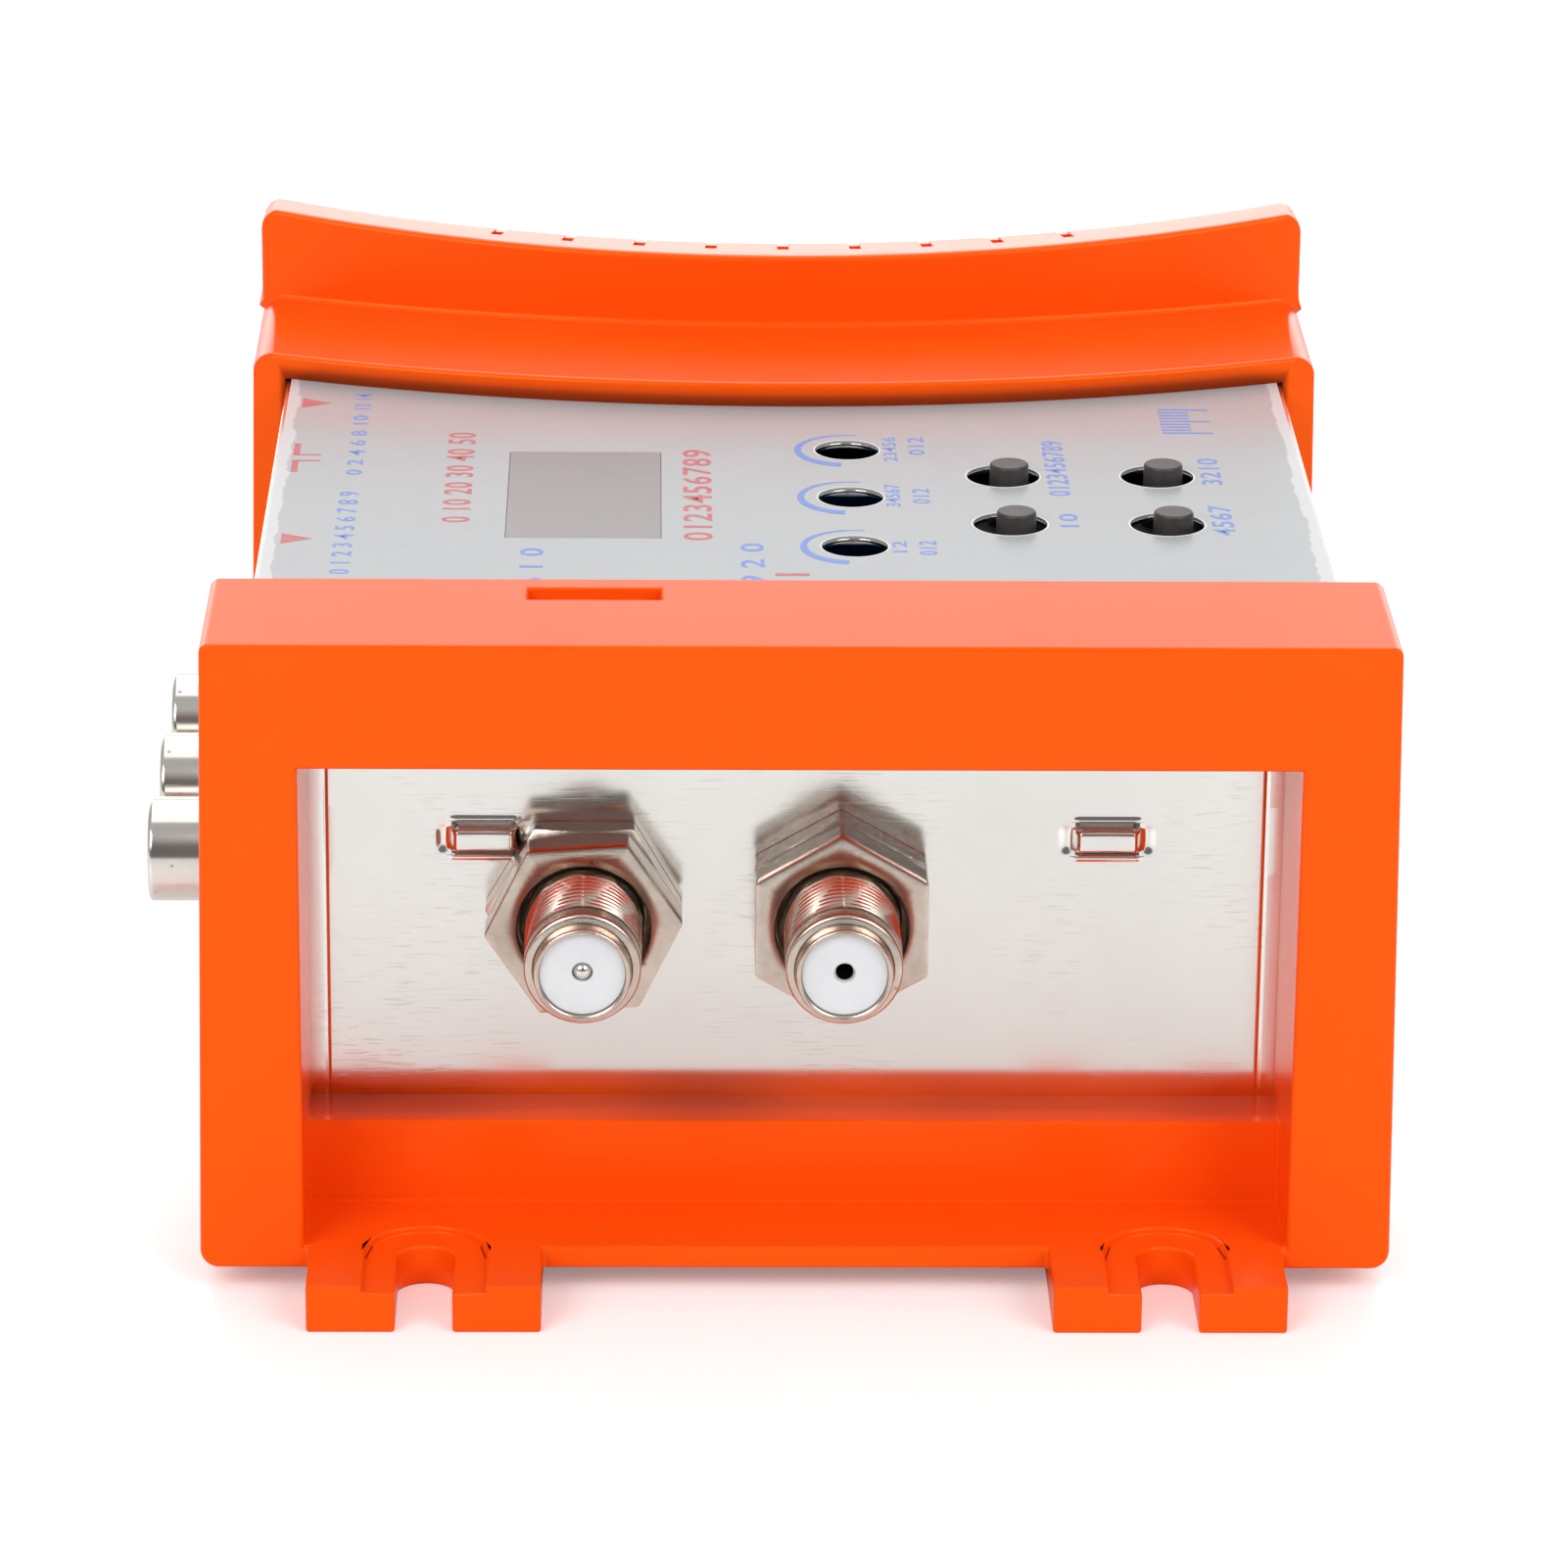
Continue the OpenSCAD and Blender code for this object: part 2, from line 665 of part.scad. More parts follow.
module coax_body(x, turn) in_frame(nickel) at_front(x) difference() {
    union() {
        translate([0, 0, -sheet_t - stub_l]) cylinder(d = stub_d, h = sheet_t + stub_l + over);
        rotate(turn) hexagon(hex_af, 0, hex_t);
        translate([0, 0, hex_t - over]) cylinder(d = groove_d, h = groove_t + over);
        cylinder(d = coax_root_d, h = coax_tip());
        translate([0, 0, coax_tip() - coax_l]) cylinder(d = coax_d, h = coax_l);
    }
    translate([0, 0, -sheet_t - stub_l - over])
        cylinder(d = coax_core_d + 2 * touch_fit, h = coax_tip() + stub_l + sheet_t + 2 * over);
}

module coax_nut(x, turn) in_frame(nickel) at_front(x) rotate(turn)
    translate([0, 0, hex_t + groove_t]) difference() {
        hexagon(hex_af, 0, nut_t);
        translate([0, 0, -over]) cylinder(d = coax_root_d + 2 * touch_fit, h = nut_t + 2 * over);
        translate([0, 0, nut_t - nut_recess_t]) cylinder(d = nut_recess_d, h = nut_recess_t + over);
    }

module coax_insulator(x) in_frame(white) at_front(x)
    tube(coax_core_d, coax_pin_d + 2 * touch_fit, -sheet_t - stub_l, coax_tip() - core_set);

module coax_contact(x) in_frame(brass_tint) at_front(x) translate([0, 0, -sheet_t - stub_l])
    cylinder(d = coax_pin_d, h = stub_l + sheet_t + coax_tip() - 2 * core_set);

function coax_tip() = hex_t + groove_t + nut_t + coax_l;

module antenna_jack_body() coax_body(antenna_x, 0);
module antenna_jack_nut() coax_nut(antenna_x, antenna_nut_turn);
module antenna_jack_insulator() coax_insulator(antenna_x);
module antenna_jack_contact() coax_contact(antenna_x);
module output_jack_body() coax_body(output_x, output_nut_turn);
module output_jack_nut() coax_nut(output_x, output_nut_turn);
module output_jack_insulator() coax_insulator(output_x);
module output_jack_contact() coax_contact(output_x);

// Side jacks and switch: the row fills the side between its first jack and the video socket
socket_y = case_l - socket_set;
switch_y = socket_y - socket_w / 2 - side_gap - switch_body_l / 2;
phono_pitch = (switch_y - switch_body_l / 2 - side_gap - phono_block_w / 2 - phono_y) / 2;
phono_neck_t = (cap_base_w - case_w) / 2;
phono_bore = phono_d - 2 * phono_wall;

module phono_housing() in_frame(black) difference() {
    first_y = case_y + phono_y - phono_block_w / 2;
    last_y = case_y + phono_y + 2 * phono_pitch + phono_block_w / 2;
    translate([-case_w / 2 + 2 * sheet_t + phono_block_d / 2, 0, 0])
        slab(phono_block_d, first_y, last_y, main_z, main_z + phono_rise + phono_block_w / 2);
    each_phono() translate([0, 0, -2 * sheet_t - phono_block_d - over])
        cylinder(d = phono_pin_d + 2 * phono_sleeve_t + 2 * touch_fit, h = phono_block_d + 2 * over);
}

// Beside the cap each shell steps in to a neck, so that a plug's sleeve stops clear of the cap
module phono_shells() in_frame(nickel) each_phono() {
    tube(phono_d, phono_bore, phono_neck_t, phono_reach);
    tube(phono_d - 2 * phono_neck, phono_bore - 2 * phono_neck, -2 * sheet_t, phono_neck_t + phono_wall);
}

module phono_insulators() in_frame(white) each_phono() {
    sleeve_d = phono_pin_d + 2 * phono_sleeve_t + 2 * touch_fit;
    core_d = phono_bore - 2 * touch_fit;
    tube(core_d - 2 * phono_neck, sleeve_d, -2 * sheet_t, phono_reach - phono_set);
    tube(core_d, sleeve_d, phono_neck_t + phono_wall + touch_fit, phono_reach - phono_set);
}

module phono_contacts() in_frame(brass_tint) each_phono()
    tube(phono_pin_d + 2 * phono_sleeve_t, phono_pin_d,
        -2 * sheet_t - phono_block_d, phono_reach - 2 * phono_set);

module at_socket() at_side(case_y + socket_y, main_z) translate([0, 0, -socket_d]) children();

module video_socket_shell() in_frame(nickel) at_socket() difference() {
    translate([0, -socket_w / 2, 0]) cube([socket_h, socket_w, socket_d]);
    translate([socket_t, -socket_w / 2 + socket_t, tongue_back_t])
        cube([socket_h - 2 * socket_t, socket_w - 2 * socket_t, socket_d]);
}

module video_socket_tongue() in_frame(black) at_socket()
    translate([(socket_h - tongue_t) / 2, -tongue_w / 2, tongue_back_t])
        cube([tongue_t, tongue_w, socket_d - tongue_back_t - tongue_t]);

module at_switch() at_side(case_y + switch_y, main_z + switch_body_h / 2)
    translate([0, 0, -2 * sheet_t]) children();

module mode_switch_body() in_frame(nickel) at_switch() difference() {
    translate([-switch_body_h / 2, -switch_body_l / 2, -switch_body_w])
        cube([switch_body_h, switch_body_l, switch_body_w]);
    foot_room = knob_foot_l + switch_travel + 2 * slide_fit;
    translate([-knob_foot_h / 2 - slide_fit, -foot_room / 2, -sheet_t - knob_foot_w - slide_fit])
        cube([knob_foot_h + 2 * slide_fit, foot_room, knob_foot_w + 2 * slide_fit]);
    translate([-knob_h / 2 - slide_fit, -(knob_l + switch_travel) / 2 - slide_fit, -sheet_t - over])
        cube([knob_h + 2 * slide_fit, knob_l + switch_travel + 2 * slide_fit, sheet_t + 2 * over]);
}

// Knob at the front end of its travel, with a foot trapped in the body
module mode_switch_knob() in_frame(black) at_switch() translate([0, -switch_travel / 2, 0]) {
    translate([-knob_foot_h / 2, -knob_foot_l / 2, -sheet_t - knob_foot_w])
        cube([knob_foot_h, knob_foot_l, knob_foot_w]);
    translate([-knob_h / 2, -knob_l / 2, -sheet_t - slide_fit])
        cube([knob_h, knob_l, 3 * sheet_t + slide_fit + knob_reach]);
}

// Boards and what they carry

main_w = case_w - 4 * sheet_t - 2 * board_margin;
main_l = case_l - 2 * sheet_t - 2 * board_margin;
main_mid_y = case_y + case_l / 2;
control_x0 = window_x - window_w / 2 - board_margin;
control_x1 = button_x + board_shift + button_pitch + tact_w - board_margin;
control_y0 = case_y + trimmer_y - trimmer_w;
control_y1 = case_y + trimmer_y + (trimmer_n - 1) * trimmer_pitch + trimmer_w;

module on_main(share) translate([share[0] * main_w, main_mid_y + share[1] * main_l, main_z]) children();

// Posts stand under the corners of the control board, and on through the main board
module each_post() for (x = [control_x0 + post_af / 2, control_x1 - post_af / 2])
    for (y = [control_y0 - post_af / 2, control_y1 + post_af / 2]) translate([x, y, 0]) children();

module post_holes(z0) each_post() translate([0, 0, z0 - over])
    cylinder(d = post_bore_d, h = board_t + 2 * over);

module main_board() in_frame(board_green) difference() {
    slab(main_w, main_mid_y - main_l / 2, main_mid_y + main_l / 2, main_z - board_t, main_z);
    post_holes(main_z - board_t);
}

module control_board() in_frame(board_green) difference() {
    translate([control_x0, control_y0 - post_af, control_z - board_t])
        cube([control_x1 - control_x0, control_y1 - control_y0 + 2 * post_af, board_t]);
    post_holes(control_z - board_t);
}

module post(z0, z1) difference() {
    hexagon(post_af, z0, z1);
    translate([0, 0, z0 - over]) cylinder(d = post_bore_d, h = z1 - z0 + 2 * over);
}

module board_posts() in_frame(brass_tint) each_post() post(case_z + sheet_t, main_z - board_t);

// Upper posts, each with a stud that screws down through the main board
module control_posts() in_frame(brass_tint) each_post() {
    difference() {
        hexagon(post_af, main_z, control_z - board_t);
        translate([0, 0, main_z + post_af]) cylinder(d = post_bore_d, h = control_z);
    }
    translate([0, 0, main_z - screw_l]) cylinder(d = screw_d, h = screw_l + touch_fit);
}

module board_screws() in_frame(nickel) each_post() translate([0, 0, control_z]) {
    cylinder(d = screw_head_d, h = screw_head_t);
    translate([0, 0, -screw_l]) cylinder(d = screw_d, h = screw_l + screw_head_t);
}

module board_link() in_frame(black) translate([control_x1 - header_w, main_mid_y, 0])
    translate([0, 0, main_z]) block(header_w, header_share * main_l, control_z - board_t - main_z);

// A block with a well that traps a collar under its lid
module trap(w, h, floor_t, lid_t, d, collar) difference() {
    block(w, w, h);
    translate([0, 0, floor_t]) cylinder(d = d + 2 * (collar + slide_fit), h = h - floor_t - lid_t);
    translate([0, 0, floor_t]) cylinder(d = d + 2 * slide_fit, h = h);
}

// A shaft from foot_z to top_z, with its collar up to collar_z
module collared(d, collar, foot_z, collar_z, top_z) {
    translate([0, 0, foot_z]) cylinder(d = d, h = top_z - foot_z);
    translate([0, 0, foot_z]) cylinder(d = d + 2 * collar, h = collar_z - foot_z);
}

module tact_switch_bodies() in_frame(charcoal) each_button() translate([0, 0, control_z])
    trap(tact_w, tact_h, tact_floor_t, tact_lid_t, button_d, tact_collar);

// Plunger, which stands clear of the well's floor by its travel and a gap
module plunger(i, j) in_frame(charcoal) at_button(i, j)
    collared(button_d, tact_collar, control_z + tact_floor_t + button_travel + slide_fit,
        control_z + tact_h - tact_lid_t - slide_fit, label_top_z + button_rise);

module button_front_left() plunger(0, 0);
module button_front_right() plunger(1, 0);
module button_rear_left() plunger(0, 1);
module button_rear_right() plunger(1, 1);

module trimmer_bodies() in_frame(blue) each_trimmer() translate([0, 0, control_z])
    trap(trimmer_w, trimmer_h, trimmer_floor_t, trimmer_lid_t, trimmer_rotor_d, trimmer_collar);

module trimmer_rotor(i) in_frame(white) at_trimmer(i) difference() {
    top_z = control_z + trimmer_h + trimmer_stand;
    collared(trimmer_rotor_d, trimmer_collar, control_z + trimmer_floor_t + slide_fit,
        control_z + trimmer_h - trimmer_lid_t - slide_fit, top_z);
    translate([0, 0, top_z - driver_slot_d]) {
        block(driver_slot_w, trimmer_rotor_d + over, driver_slot_d + over);
        block(trimmer_rotor_d / 2, driver_slot_w, driver_slot_d + over);
    }
}

module trimmer_front() trimmer_rotor(0);
module trimmer_middle() trimmer_rotor(1);
module trimmer_rear() trimmer_rotor(2);

module digit_display() in_frame(black) translate([window_x, case_y + window_y, control_z])
    block(window_w - 2 * loose_fit, window_l - 2 * loose_fit, label_top_z - film_t - control_z);

// Screening can over the tuner, behind the coaxial jacks
module tuner_can() in_frame(tin) translate([(antenna_x + output_x) / 2, 0, main_z]) difference() {
    can_w = can_w_share * case_w;
    can_l = can_l_share * case_l;
    can_y = control_y0 + board_margin;
    slab(can_w, can_y, can_y + can_l, 0, can_h);
    slab(can_w - 2 * can_t, can_y + can_t, can_y + can_l - can_t, -over, can_h - can_t);
}

module chips() in_frame(black) for (share = chip_share) on_main(share) block(chip_w, chip_w, chip_t);

module crystal() in_frame(nickel) on_main(crystal_share) block(crystal_w, crystal_d, crystal_h);

module capacitors() in_frame(blue) for (share = capacitor_share)
    on_main(share) cylinder(d = capacitor_d, h = capacitor_h);

module voltage_regulator() in_frame(black) on_main(regulator_share)
    block(regulator_d, regulator_w, regulator_h);

// Local Z = 0 at the jack's back, with its mouth just inside the rear wall
module at_dc(rise) at_rear(dc_x, main_z + rise)
    translate([0, 0, rear_gap + sag(dc_x - dc_w / 2) - loose_fit - dc_l]) children();

module dc_jack_body() in_frame(black) difference() {
    at_dc(0) translate([-dc_w / 2, -dc_h, 0]) cube([dc_w, dc_h, dc_l]);
    at_dc(dc_rise) translate([0, 0, dc_back_t]) cylinder(d = dc_bore_d, h = dc_l);
}

module dc_jack_pin() in_frame(nickel) at_dc(dc_rise)
    translate([0, 0, dc_back_t]) cylinder(d = dc_pin_d, h = dc_l - dc_back_t - core_set);

module power_led() in_frame([0.85, 0.12, 0.10]) at_rear(-led_x, main_z + led_rise) {
    led_out = rear_wall_t + rear_gap;
    translate([0, 0, -sheet_t]) cylinder(d = led_d, h = sheet_t + led_out);
    translate([0, 0, led_out]) sphere(d = led_d);
    translate([-led_d / 2, -led_d / 2, -sheet_t - led_l]) cube([led_d, led_rise + led_d / 2, led_l]);
}

front_end_cap();
rear_end_cap();
chassis_frame();
top_cover();
bottom_cover();
top_label();
display_window();
cap_screws();
antenna_jack_body();
antenna_jack_nut();
antenna_jack_insulator();
antenna_jack_contact();
output_jack_body();
output_jack_nut();
output_jack_insulator();
output_jack_contact();
phono_housing();
phono_shells();
phono_insulators();
phono_contacts();
video_socket_shell();
video_socket_tongue();
mode_switch_body();
mode_switch_knob();
main_board();
control_board();
board_posts();
control_posts();
board_screws();
board_link();
tact_switch_bodies();
button_front_left();
button_front_right();
button_rear_left();
button_rear_right();
trimmer_bodies();
trimmer_front();
trimmer_middle();
trimmer_rear();
digit_display();
tuner_can();
chips();
crystal();
capacitors();
voltage_regulator();
dc_jack_body();
dc_jack_pin();
power_led();
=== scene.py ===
import math

import bmesh
import bpy
import numpy as np
from mathutils import Matrix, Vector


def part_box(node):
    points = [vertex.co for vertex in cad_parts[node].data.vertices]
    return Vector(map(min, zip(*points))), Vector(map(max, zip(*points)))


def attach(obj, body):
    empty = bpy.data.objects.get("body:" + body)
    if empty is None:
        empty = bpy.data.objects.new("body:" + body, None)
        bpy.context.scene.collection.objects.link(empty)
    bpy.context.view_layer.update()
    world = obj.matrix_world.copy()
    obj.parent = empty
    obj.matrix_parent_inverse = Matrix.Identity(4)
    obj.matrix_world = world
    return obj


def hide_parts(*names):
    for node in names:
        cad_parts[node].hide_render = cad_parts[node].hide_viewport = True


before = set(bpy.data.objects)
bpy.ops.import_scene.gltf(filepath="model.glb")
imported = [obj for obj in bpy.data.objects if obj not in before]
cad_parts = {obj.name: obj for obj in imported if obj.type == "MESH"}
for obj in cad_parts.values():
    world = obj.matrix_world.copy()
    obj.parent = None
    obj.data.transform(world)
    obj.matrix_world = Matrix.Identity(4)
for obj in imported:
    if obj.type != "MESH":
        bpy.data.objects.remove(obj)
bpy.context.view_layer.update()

# Drawing places are in millimetres: X from the middle of the case, Y from the front cap's face, Z from the
# floor.
MM = 0.001
RECESS = 15.0  # from the front cap's face to the end plate
case_lo, case_hi = (np.array(corner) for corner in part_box("bottom_cover"))
DRAWING_ORIGIN = np.array([(case_lo[0] + case_hi[0]) / 2, case_lo[1] - RECESS * MM, 0.0])


def metres(points):
    """Drawing millimetres turned into the frame's metres."""
    return np.asarray(points, float).reshape(-1, 3) * MM + DRAWING_ORIGIN


def drawing(points):
    """The frame's metres turned into drawing millimetres."""
    return (np.asarray(points, float).reshape(-1, 3) - DRAWING_ORIGIN) / MM


def drawing_box(node):
    """Lowest and highest corner of a CAD node, in drawing millimetres."""
    return [(np.array(corner) - DRAWING_ORIGIN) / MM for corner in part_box(node)]


CASE_HALF = (case_hi[0] - case_lo[0]) / MM / 2
CASE_END = (case_hi[1] - case_lo[1]) / MM + RECESS
LABEL_TOP = drawing_box("top_label")[1][2]
BAR_TOP = drawing_box("rear_end_cap")[1][2]


# Node trees

def socket_in(tree, socket, value):
    """A link where value is another socket, and otherwise a plain number or colour."""
    if isinstance(value, bpy.types.NodeSocket):
        tree.links.new(value, socket)
    elif value is not None:
        socket.default_value = value


def add(tree, kind, inputs=(), **settings):
    """A node of one kind, with its settings and its inputs by name or place."""
    node = tree.nodes.new(kind)
    for key, value in settings.items():
        setattr(node, key, value)
    for key, value in dict(inputs).items():
        socket_in(tree, node.inputs[key], value)
    return node


def maths(tree, operation, a, b=0.0):
    """One step of arithmetic on values."""
    return add(tree, "ShaderNodeMath", {0: a, 1: b}, operation=operation).outputs[0]


def times(tree, value, factor):
    """Value multiplied by a factor or by another value."""
    return maths(tree, "MULTIPLY", value, factor)


def mixed(tree, share, a, b):
    """Colour a turning into colour b as share goes from 0 to 1."""
    node = add(tree, "ShaderNodeMix", data_type="RGBA")
    socket_in(tree, node.inputs[0], share)
    socket_in(tree, node.inputs[6], a)
    socket_in(tree, node.inputs[7], b)
    return node.outputs[2]


def ramp(tree, value, low, high, out_low=0.0, out_high=1.0):
    """Value carried from low..high to out_low..out_high and held there."""
    node = add(tree, "ShaderNodeMapRange", {"Value": value, "From Min": low, "From Max": high,
                                            "To Min": out_low, "To Max": out_high})
    return node.outputs[0]


def noise(tree, place, scale, detail, **inputs):
    """Noise drawn at a place, about 0.5."""
    given = {"Vector": place, "Scale": scale, "Detail": detail, **inputs}
    return add(tree, "ShaderNodeTexNoise", given).outputs[0]


def effect(name, inputs, outputs):
    """An empty node group with the named inputs and outputs."""
    group = bpy.data.node_groups.new(name, "ShaderNodeTree")
    for label, kind, value in inputs:
        made = group.interface.new_socket(label, in_out="INPUT", socket_type=kind)
        if value is not None:
            made.default_value = value
    for label, kind in outputs:
        group.interface.new_socket(label, in_out="OUTPUT", socket_type=kind)
    return group, group.nodes.new("NodeGroupInput").outputs, group.nodes.new("NodeGroupOutput").inputs


FLOAT, VECTOR = "NodeSocketFloat", "NodeSocketVector"


def build_mottle():
    """Slow and fine noise added together: a value about 0.5 that varies by Amount."""
    group, given, out = effect(
        "mottle", [("Place", VECTOR, None), ("Scale", FLOAT, 60.0), ("Amount", FLOAT, 0.2)],
        [("Value", FLOAT)])
    place, scale, amount = given[0], given[1], given[2]
    slow = noise(group, place, scale, 4.0, Roughness=0.6)
    fine = noise(group, place, times(group, scale, 7.0), 2.0)
    both = maths(group, "ADD", times(group, slow, 0.7), times(group, fine, 0.3))
    off = times(group, maths(group, "SUBTRACT", both, 0.5), amount)
    group.links.new(maths(group, "ADD", off, 0.5), out[0])
    return group


def build_scratches():
    """Noise drawn out along X: thin lines where it crosses a narrow band. Mask is 1 on a line."""
    group, given, out = effect(
        "scratches", [("Place", VECTOR, None), ("Along", FLOAT, 60.0), ("Across", FLOAT, 2500.0),
                      ("Share", FLOAT, 0.1)], [("Mask", FLOAT), ("Lines", FLOAT)])
    place, along, across, share = given[0], given[1], given[2], given[3]
    size = add(group, "ShaderNodeCombineXYZ", {"X": along, "Y": across, "Z": across})
    drawn = add(group, "ShaderNodeVectorMath", {0: place, 1: size.outputs[0]}, operation="MULTIPLY")
    lines = noise(group, drawn.outputs[0], 1.0, 3.0)
    gate = ramp(group, noise(group, place, 90.0, 3.0), 0.45, 0.62)
    top = maths(group, "SUBTRACT", 1.0, share)
    line = ramp(group, lines, times(group, top, 0.72), times(group, top, 0.8))
    group.links.new(times(group, line, gate), out[0])
    group.links.new(lines, out[1])
    return group


def build_specks():
    """Small round spots in some of the cells of a Voronoi pattern. Mask is 1 in a spot."""
    group, given, out = effect(
        "specks", [("Place", VECTOR, None), ("Scale", FLOAT, 300.0), ("Size", FLOAT, 0.12),
                   ("Share", FLOAT, 0.2)], [("Mask", FLOAT)])
    place, scale, largest, share = given[0], given[1], given[2], given[3]
    cells = add(group, "ShaderNodeTexVoronoi", {"Vector": place, "Scale": scale, "Randomness": 1.0})
    apart = add(group, "ShaderNodeSeparateColor", {0: cells.outputs["Color"]}).outputs
    chosen = maths(group, "LESS_THAN", apart[0], share)
    size = times(group, largest, apart[1])
    spot = maths(group, "LESS_THAN", cells.outputs["Distance"], size)
    group.links.new(times(group, spot, chosen), out[0])
    return group


MOTTLE, SCRATCHES, SPECKS = build_mottle(), build_scratches(), build_specks()


class Finish:
    """One material: a Principled shader with plain constants, and the place on the piece that patterns are
    drawn from."""

    def __init__(self, name, metallic=0.0, **constants):
        self.material = bpy.data.materials.new(name)
        self.material.use_nodes = True
        self.tree = self.material.node_tree
        self.shader = self.tree.nodes["Principled BSDF"]
        self.shader.inputs["Metallic"].default_value = metallic
        for key, value in constants.items():
            self.shader.inputs[key.replace("_", " ")].default_value = value
        self.place = add(self.tree, "ShaderNodeTexCoord").outputs["Object"]

    def group(self, tree, **values):
        """An effect placed in this material with its own values."""
        node = self.tree.nodes.new("ShaderNodeGroup")
        node.node_tree = tree
        socket_in(self.tree, node.inputs["Place"], self.place)
        for key, value in values.items():
            socket_in(self.tree, node.inputs[key], value)
        return node.outputs

    def set(self, name, value):
        """A changing colour, mask or value fed to one of the shader's sockets."""
        socket_in(self.tree, self.shader.inputs[name], value)

    def mottle(self, scale, amount):
        """Slow and fine noise about 0.5."""
        return self.group(MOTTLE, Scale=scale, Amount=amount)[0]

    def specks(self, scale, size, share):
        """Mask of small round spots."""
        return self.group(SPECKS, Scale=scale, Size=size, Share=share)[0]

    def spread(self, value, low=0.0, high=1.0, start=0.3, end=0.7):
        """A noise value's middle part carried to low..high."""
        return ramp(self.tree, value, start, end, low, high)

    def mix(self, share, a, b):
        """Colour a turning into colour b."""
        return mixed(self.tree, share, a, b)

    def bump(self, height, distance, strength):
        """A height in millimetres turned into the shader's normal."""
        node = add(self.tree, "ShaderNodeBump",
                   {"Height": height, "Distance": distance * MM, "Strength": strength})
        self.set("Normal", node.outputs[0])


def orange_gloss():
    """Glossy orange moulding: even colour with faint flow variation and a trace of orange peel."""
    f = Finish("orange gloss plastic", IOR=1.5, Specular_Tint=(1.0, 0.45, 0.12, 1))
    flow = f.mottle(35.0, 0.5)
    f.set("Base Color", f.mix(f.spread(flow), (0.93, 0.082, 0.002, 1), (0.97, 0.095, 0.004, 1)))
    f.set("Roughness", f.spread(flow, 0.2, 0.27))
    f.bump(noise(f.tree, f.place, 700.0, 1.0), 0.004, 0.5)
    return f.material


def tinplate():
    """Dull tinned sheet: fine rolling lines along X, scratches, small dark pits and slow stains."""
    f = Finish("dull tinplate", metallic=1.0)
    stain = f.mottle(45.0, 0.9)
    line_mask, line_height = f.group(SCRATCHES, Along=45.0, Across=2600.0, Share=0.12)[:2]
    marks = f.group(SCRATCHES, Along=350.0, Across=5200.0, Share=0.2)[0]
    pits = f.specks(330.0, 0.11, 0.09)
    base = f.mix(f.spread(stain, start=0.25, end=0.75), (0.77, 0.765, 0.73, 1), (0.86, 0.855, 0.82, 1))
    base = f.mix(times(f.tree, marks, 0.28), base, (0.42, 0.38, 0.33, 1))
    f.set("Base Color", f.mix(times(f.tree, pits, 0.85), base, (0.16, 0.14, 0.12, 1)))
    dull = f.spread(stain, 0.12, 0.18, 0.25, 0.75)
    f.set("Roughness", maths(f.tree, "ADD", dull, times(f.tree, line_mask, 0.06)))
    sunk = maths(f.tree, "ADD", times(f.tree, marks, 0.5), pits)
    f.bump(maths(f.tree, "SUBTRACT", times(f.tree, line_height, 0.5), sunk), 0.006, 0.5)
    return f.material


def nickel(name, base, dark, rough, bump):
    """Bright nickel plate with a warm cast: mottled shine, fine scratches and a few dark specks."""
    f = Finish(name, metallic=1.0)
    cast = f.mottle(220.0, 0.9)
    marks = f.group(SCRATCHES, Along=500.0, Across=4200.0, Share=0.2)[0]
    specks = f.specks(700.0, 0.25, 0.12)
    colour = f.mix(f.spread(cast), dark, base)
    f.set("Base Color", f.mix(times(f.tree, specks, 0.6), colour, (0.2, 0.15, 0.12, 1)))
    f.set("Roughness", f.spread(cast, rough + 0.08, rough))
    f.bump(maths(f.tree, "ADD", cast, times(f.tree, marks, -0.5)), bump, 0.6)
    return f.material


def label_film():
    """Satin grey film with a pale worn border along both sides of the case."""
    f = Finish("label film", IOR=1.6)
    grain = f.mottle(120.0, 0.6)
    across = add(f.tree, "ShaderNodeSeparateXYZ", {0: f.place}).outputs[0]
    label_half = (drawing_box("top_label")[1][0]) * MM
    from_middle = maths(f.tree, "ABSOLUTE", maths(f.tree, "SUBTRACT", across, float(DRAWING_ORIGIN[0])))
    edge = maths(f.tree, "SUBTRACT", label_half, from_middle)
    wander = noise(f.tree, f.place, 170.0, 5.0, Roughness=0.7)
    worn = maths(f.tree, "SUBTRACT", times(f.tree, wander, 1.9 * MM), edge)
    worn = ramp(f.tree, worn, -0.05 * MM, 0.12 * MM)
    grey = f.mix(f.spread(grain), (0.385, 0.40, 0.41, 1), (0.41, 0.425, 0.435, 1))
    pale = maths(f.tree, "MAXIMUM", times(f.tree, worn, 0.45), f.specks(150.0, 0.06, 0.12))
    f.set("Base Color", f.mix(pale, grey, (0.8, 0.8, 0.8, 1)))
    f.set("Roughness", f.spread(grain, 0.19, 0.24))
    f.bump(grain, 0.003, 0.4)
    return f.material


def window_film():
    """Smoked display film: mid grey, smooth, with a few specks of dust."""
    f = Finish("window film", IOR=1.45)
    grain = f.mottle(70.0, 0.7)
    grey = f.mix(f.spread(grain), (0.25, 0.235, 0.24, 1), (0.285, 0.27, 0.275, 1))
    f.set("Base Color", f.mix(f.specks(210.0, 0.07, 0.2), grey, (0.8, 0.8, 0.8, 1)))
    f.set("Roughness", f.spread(grain, 0.26, 0.32))
    return f.material


def plain_plastic(name, low, high, rough, scale=160.0, bump=0.01, **constants):
    """Moulded plastic: two close colours in a fine mottle, with a matching grain in roughness and height."""
    f = Finish(name, **constants)
    grain = f.mottle(scale, 1.0)
    f.set("Base Color", f.mix(f.spread(grain), low, high))
    f.set("Roughness", f.spread(grain, rough - 0.05, rough + 0.05))
    f.bump(grain, bump, 0.5)
    return f.material


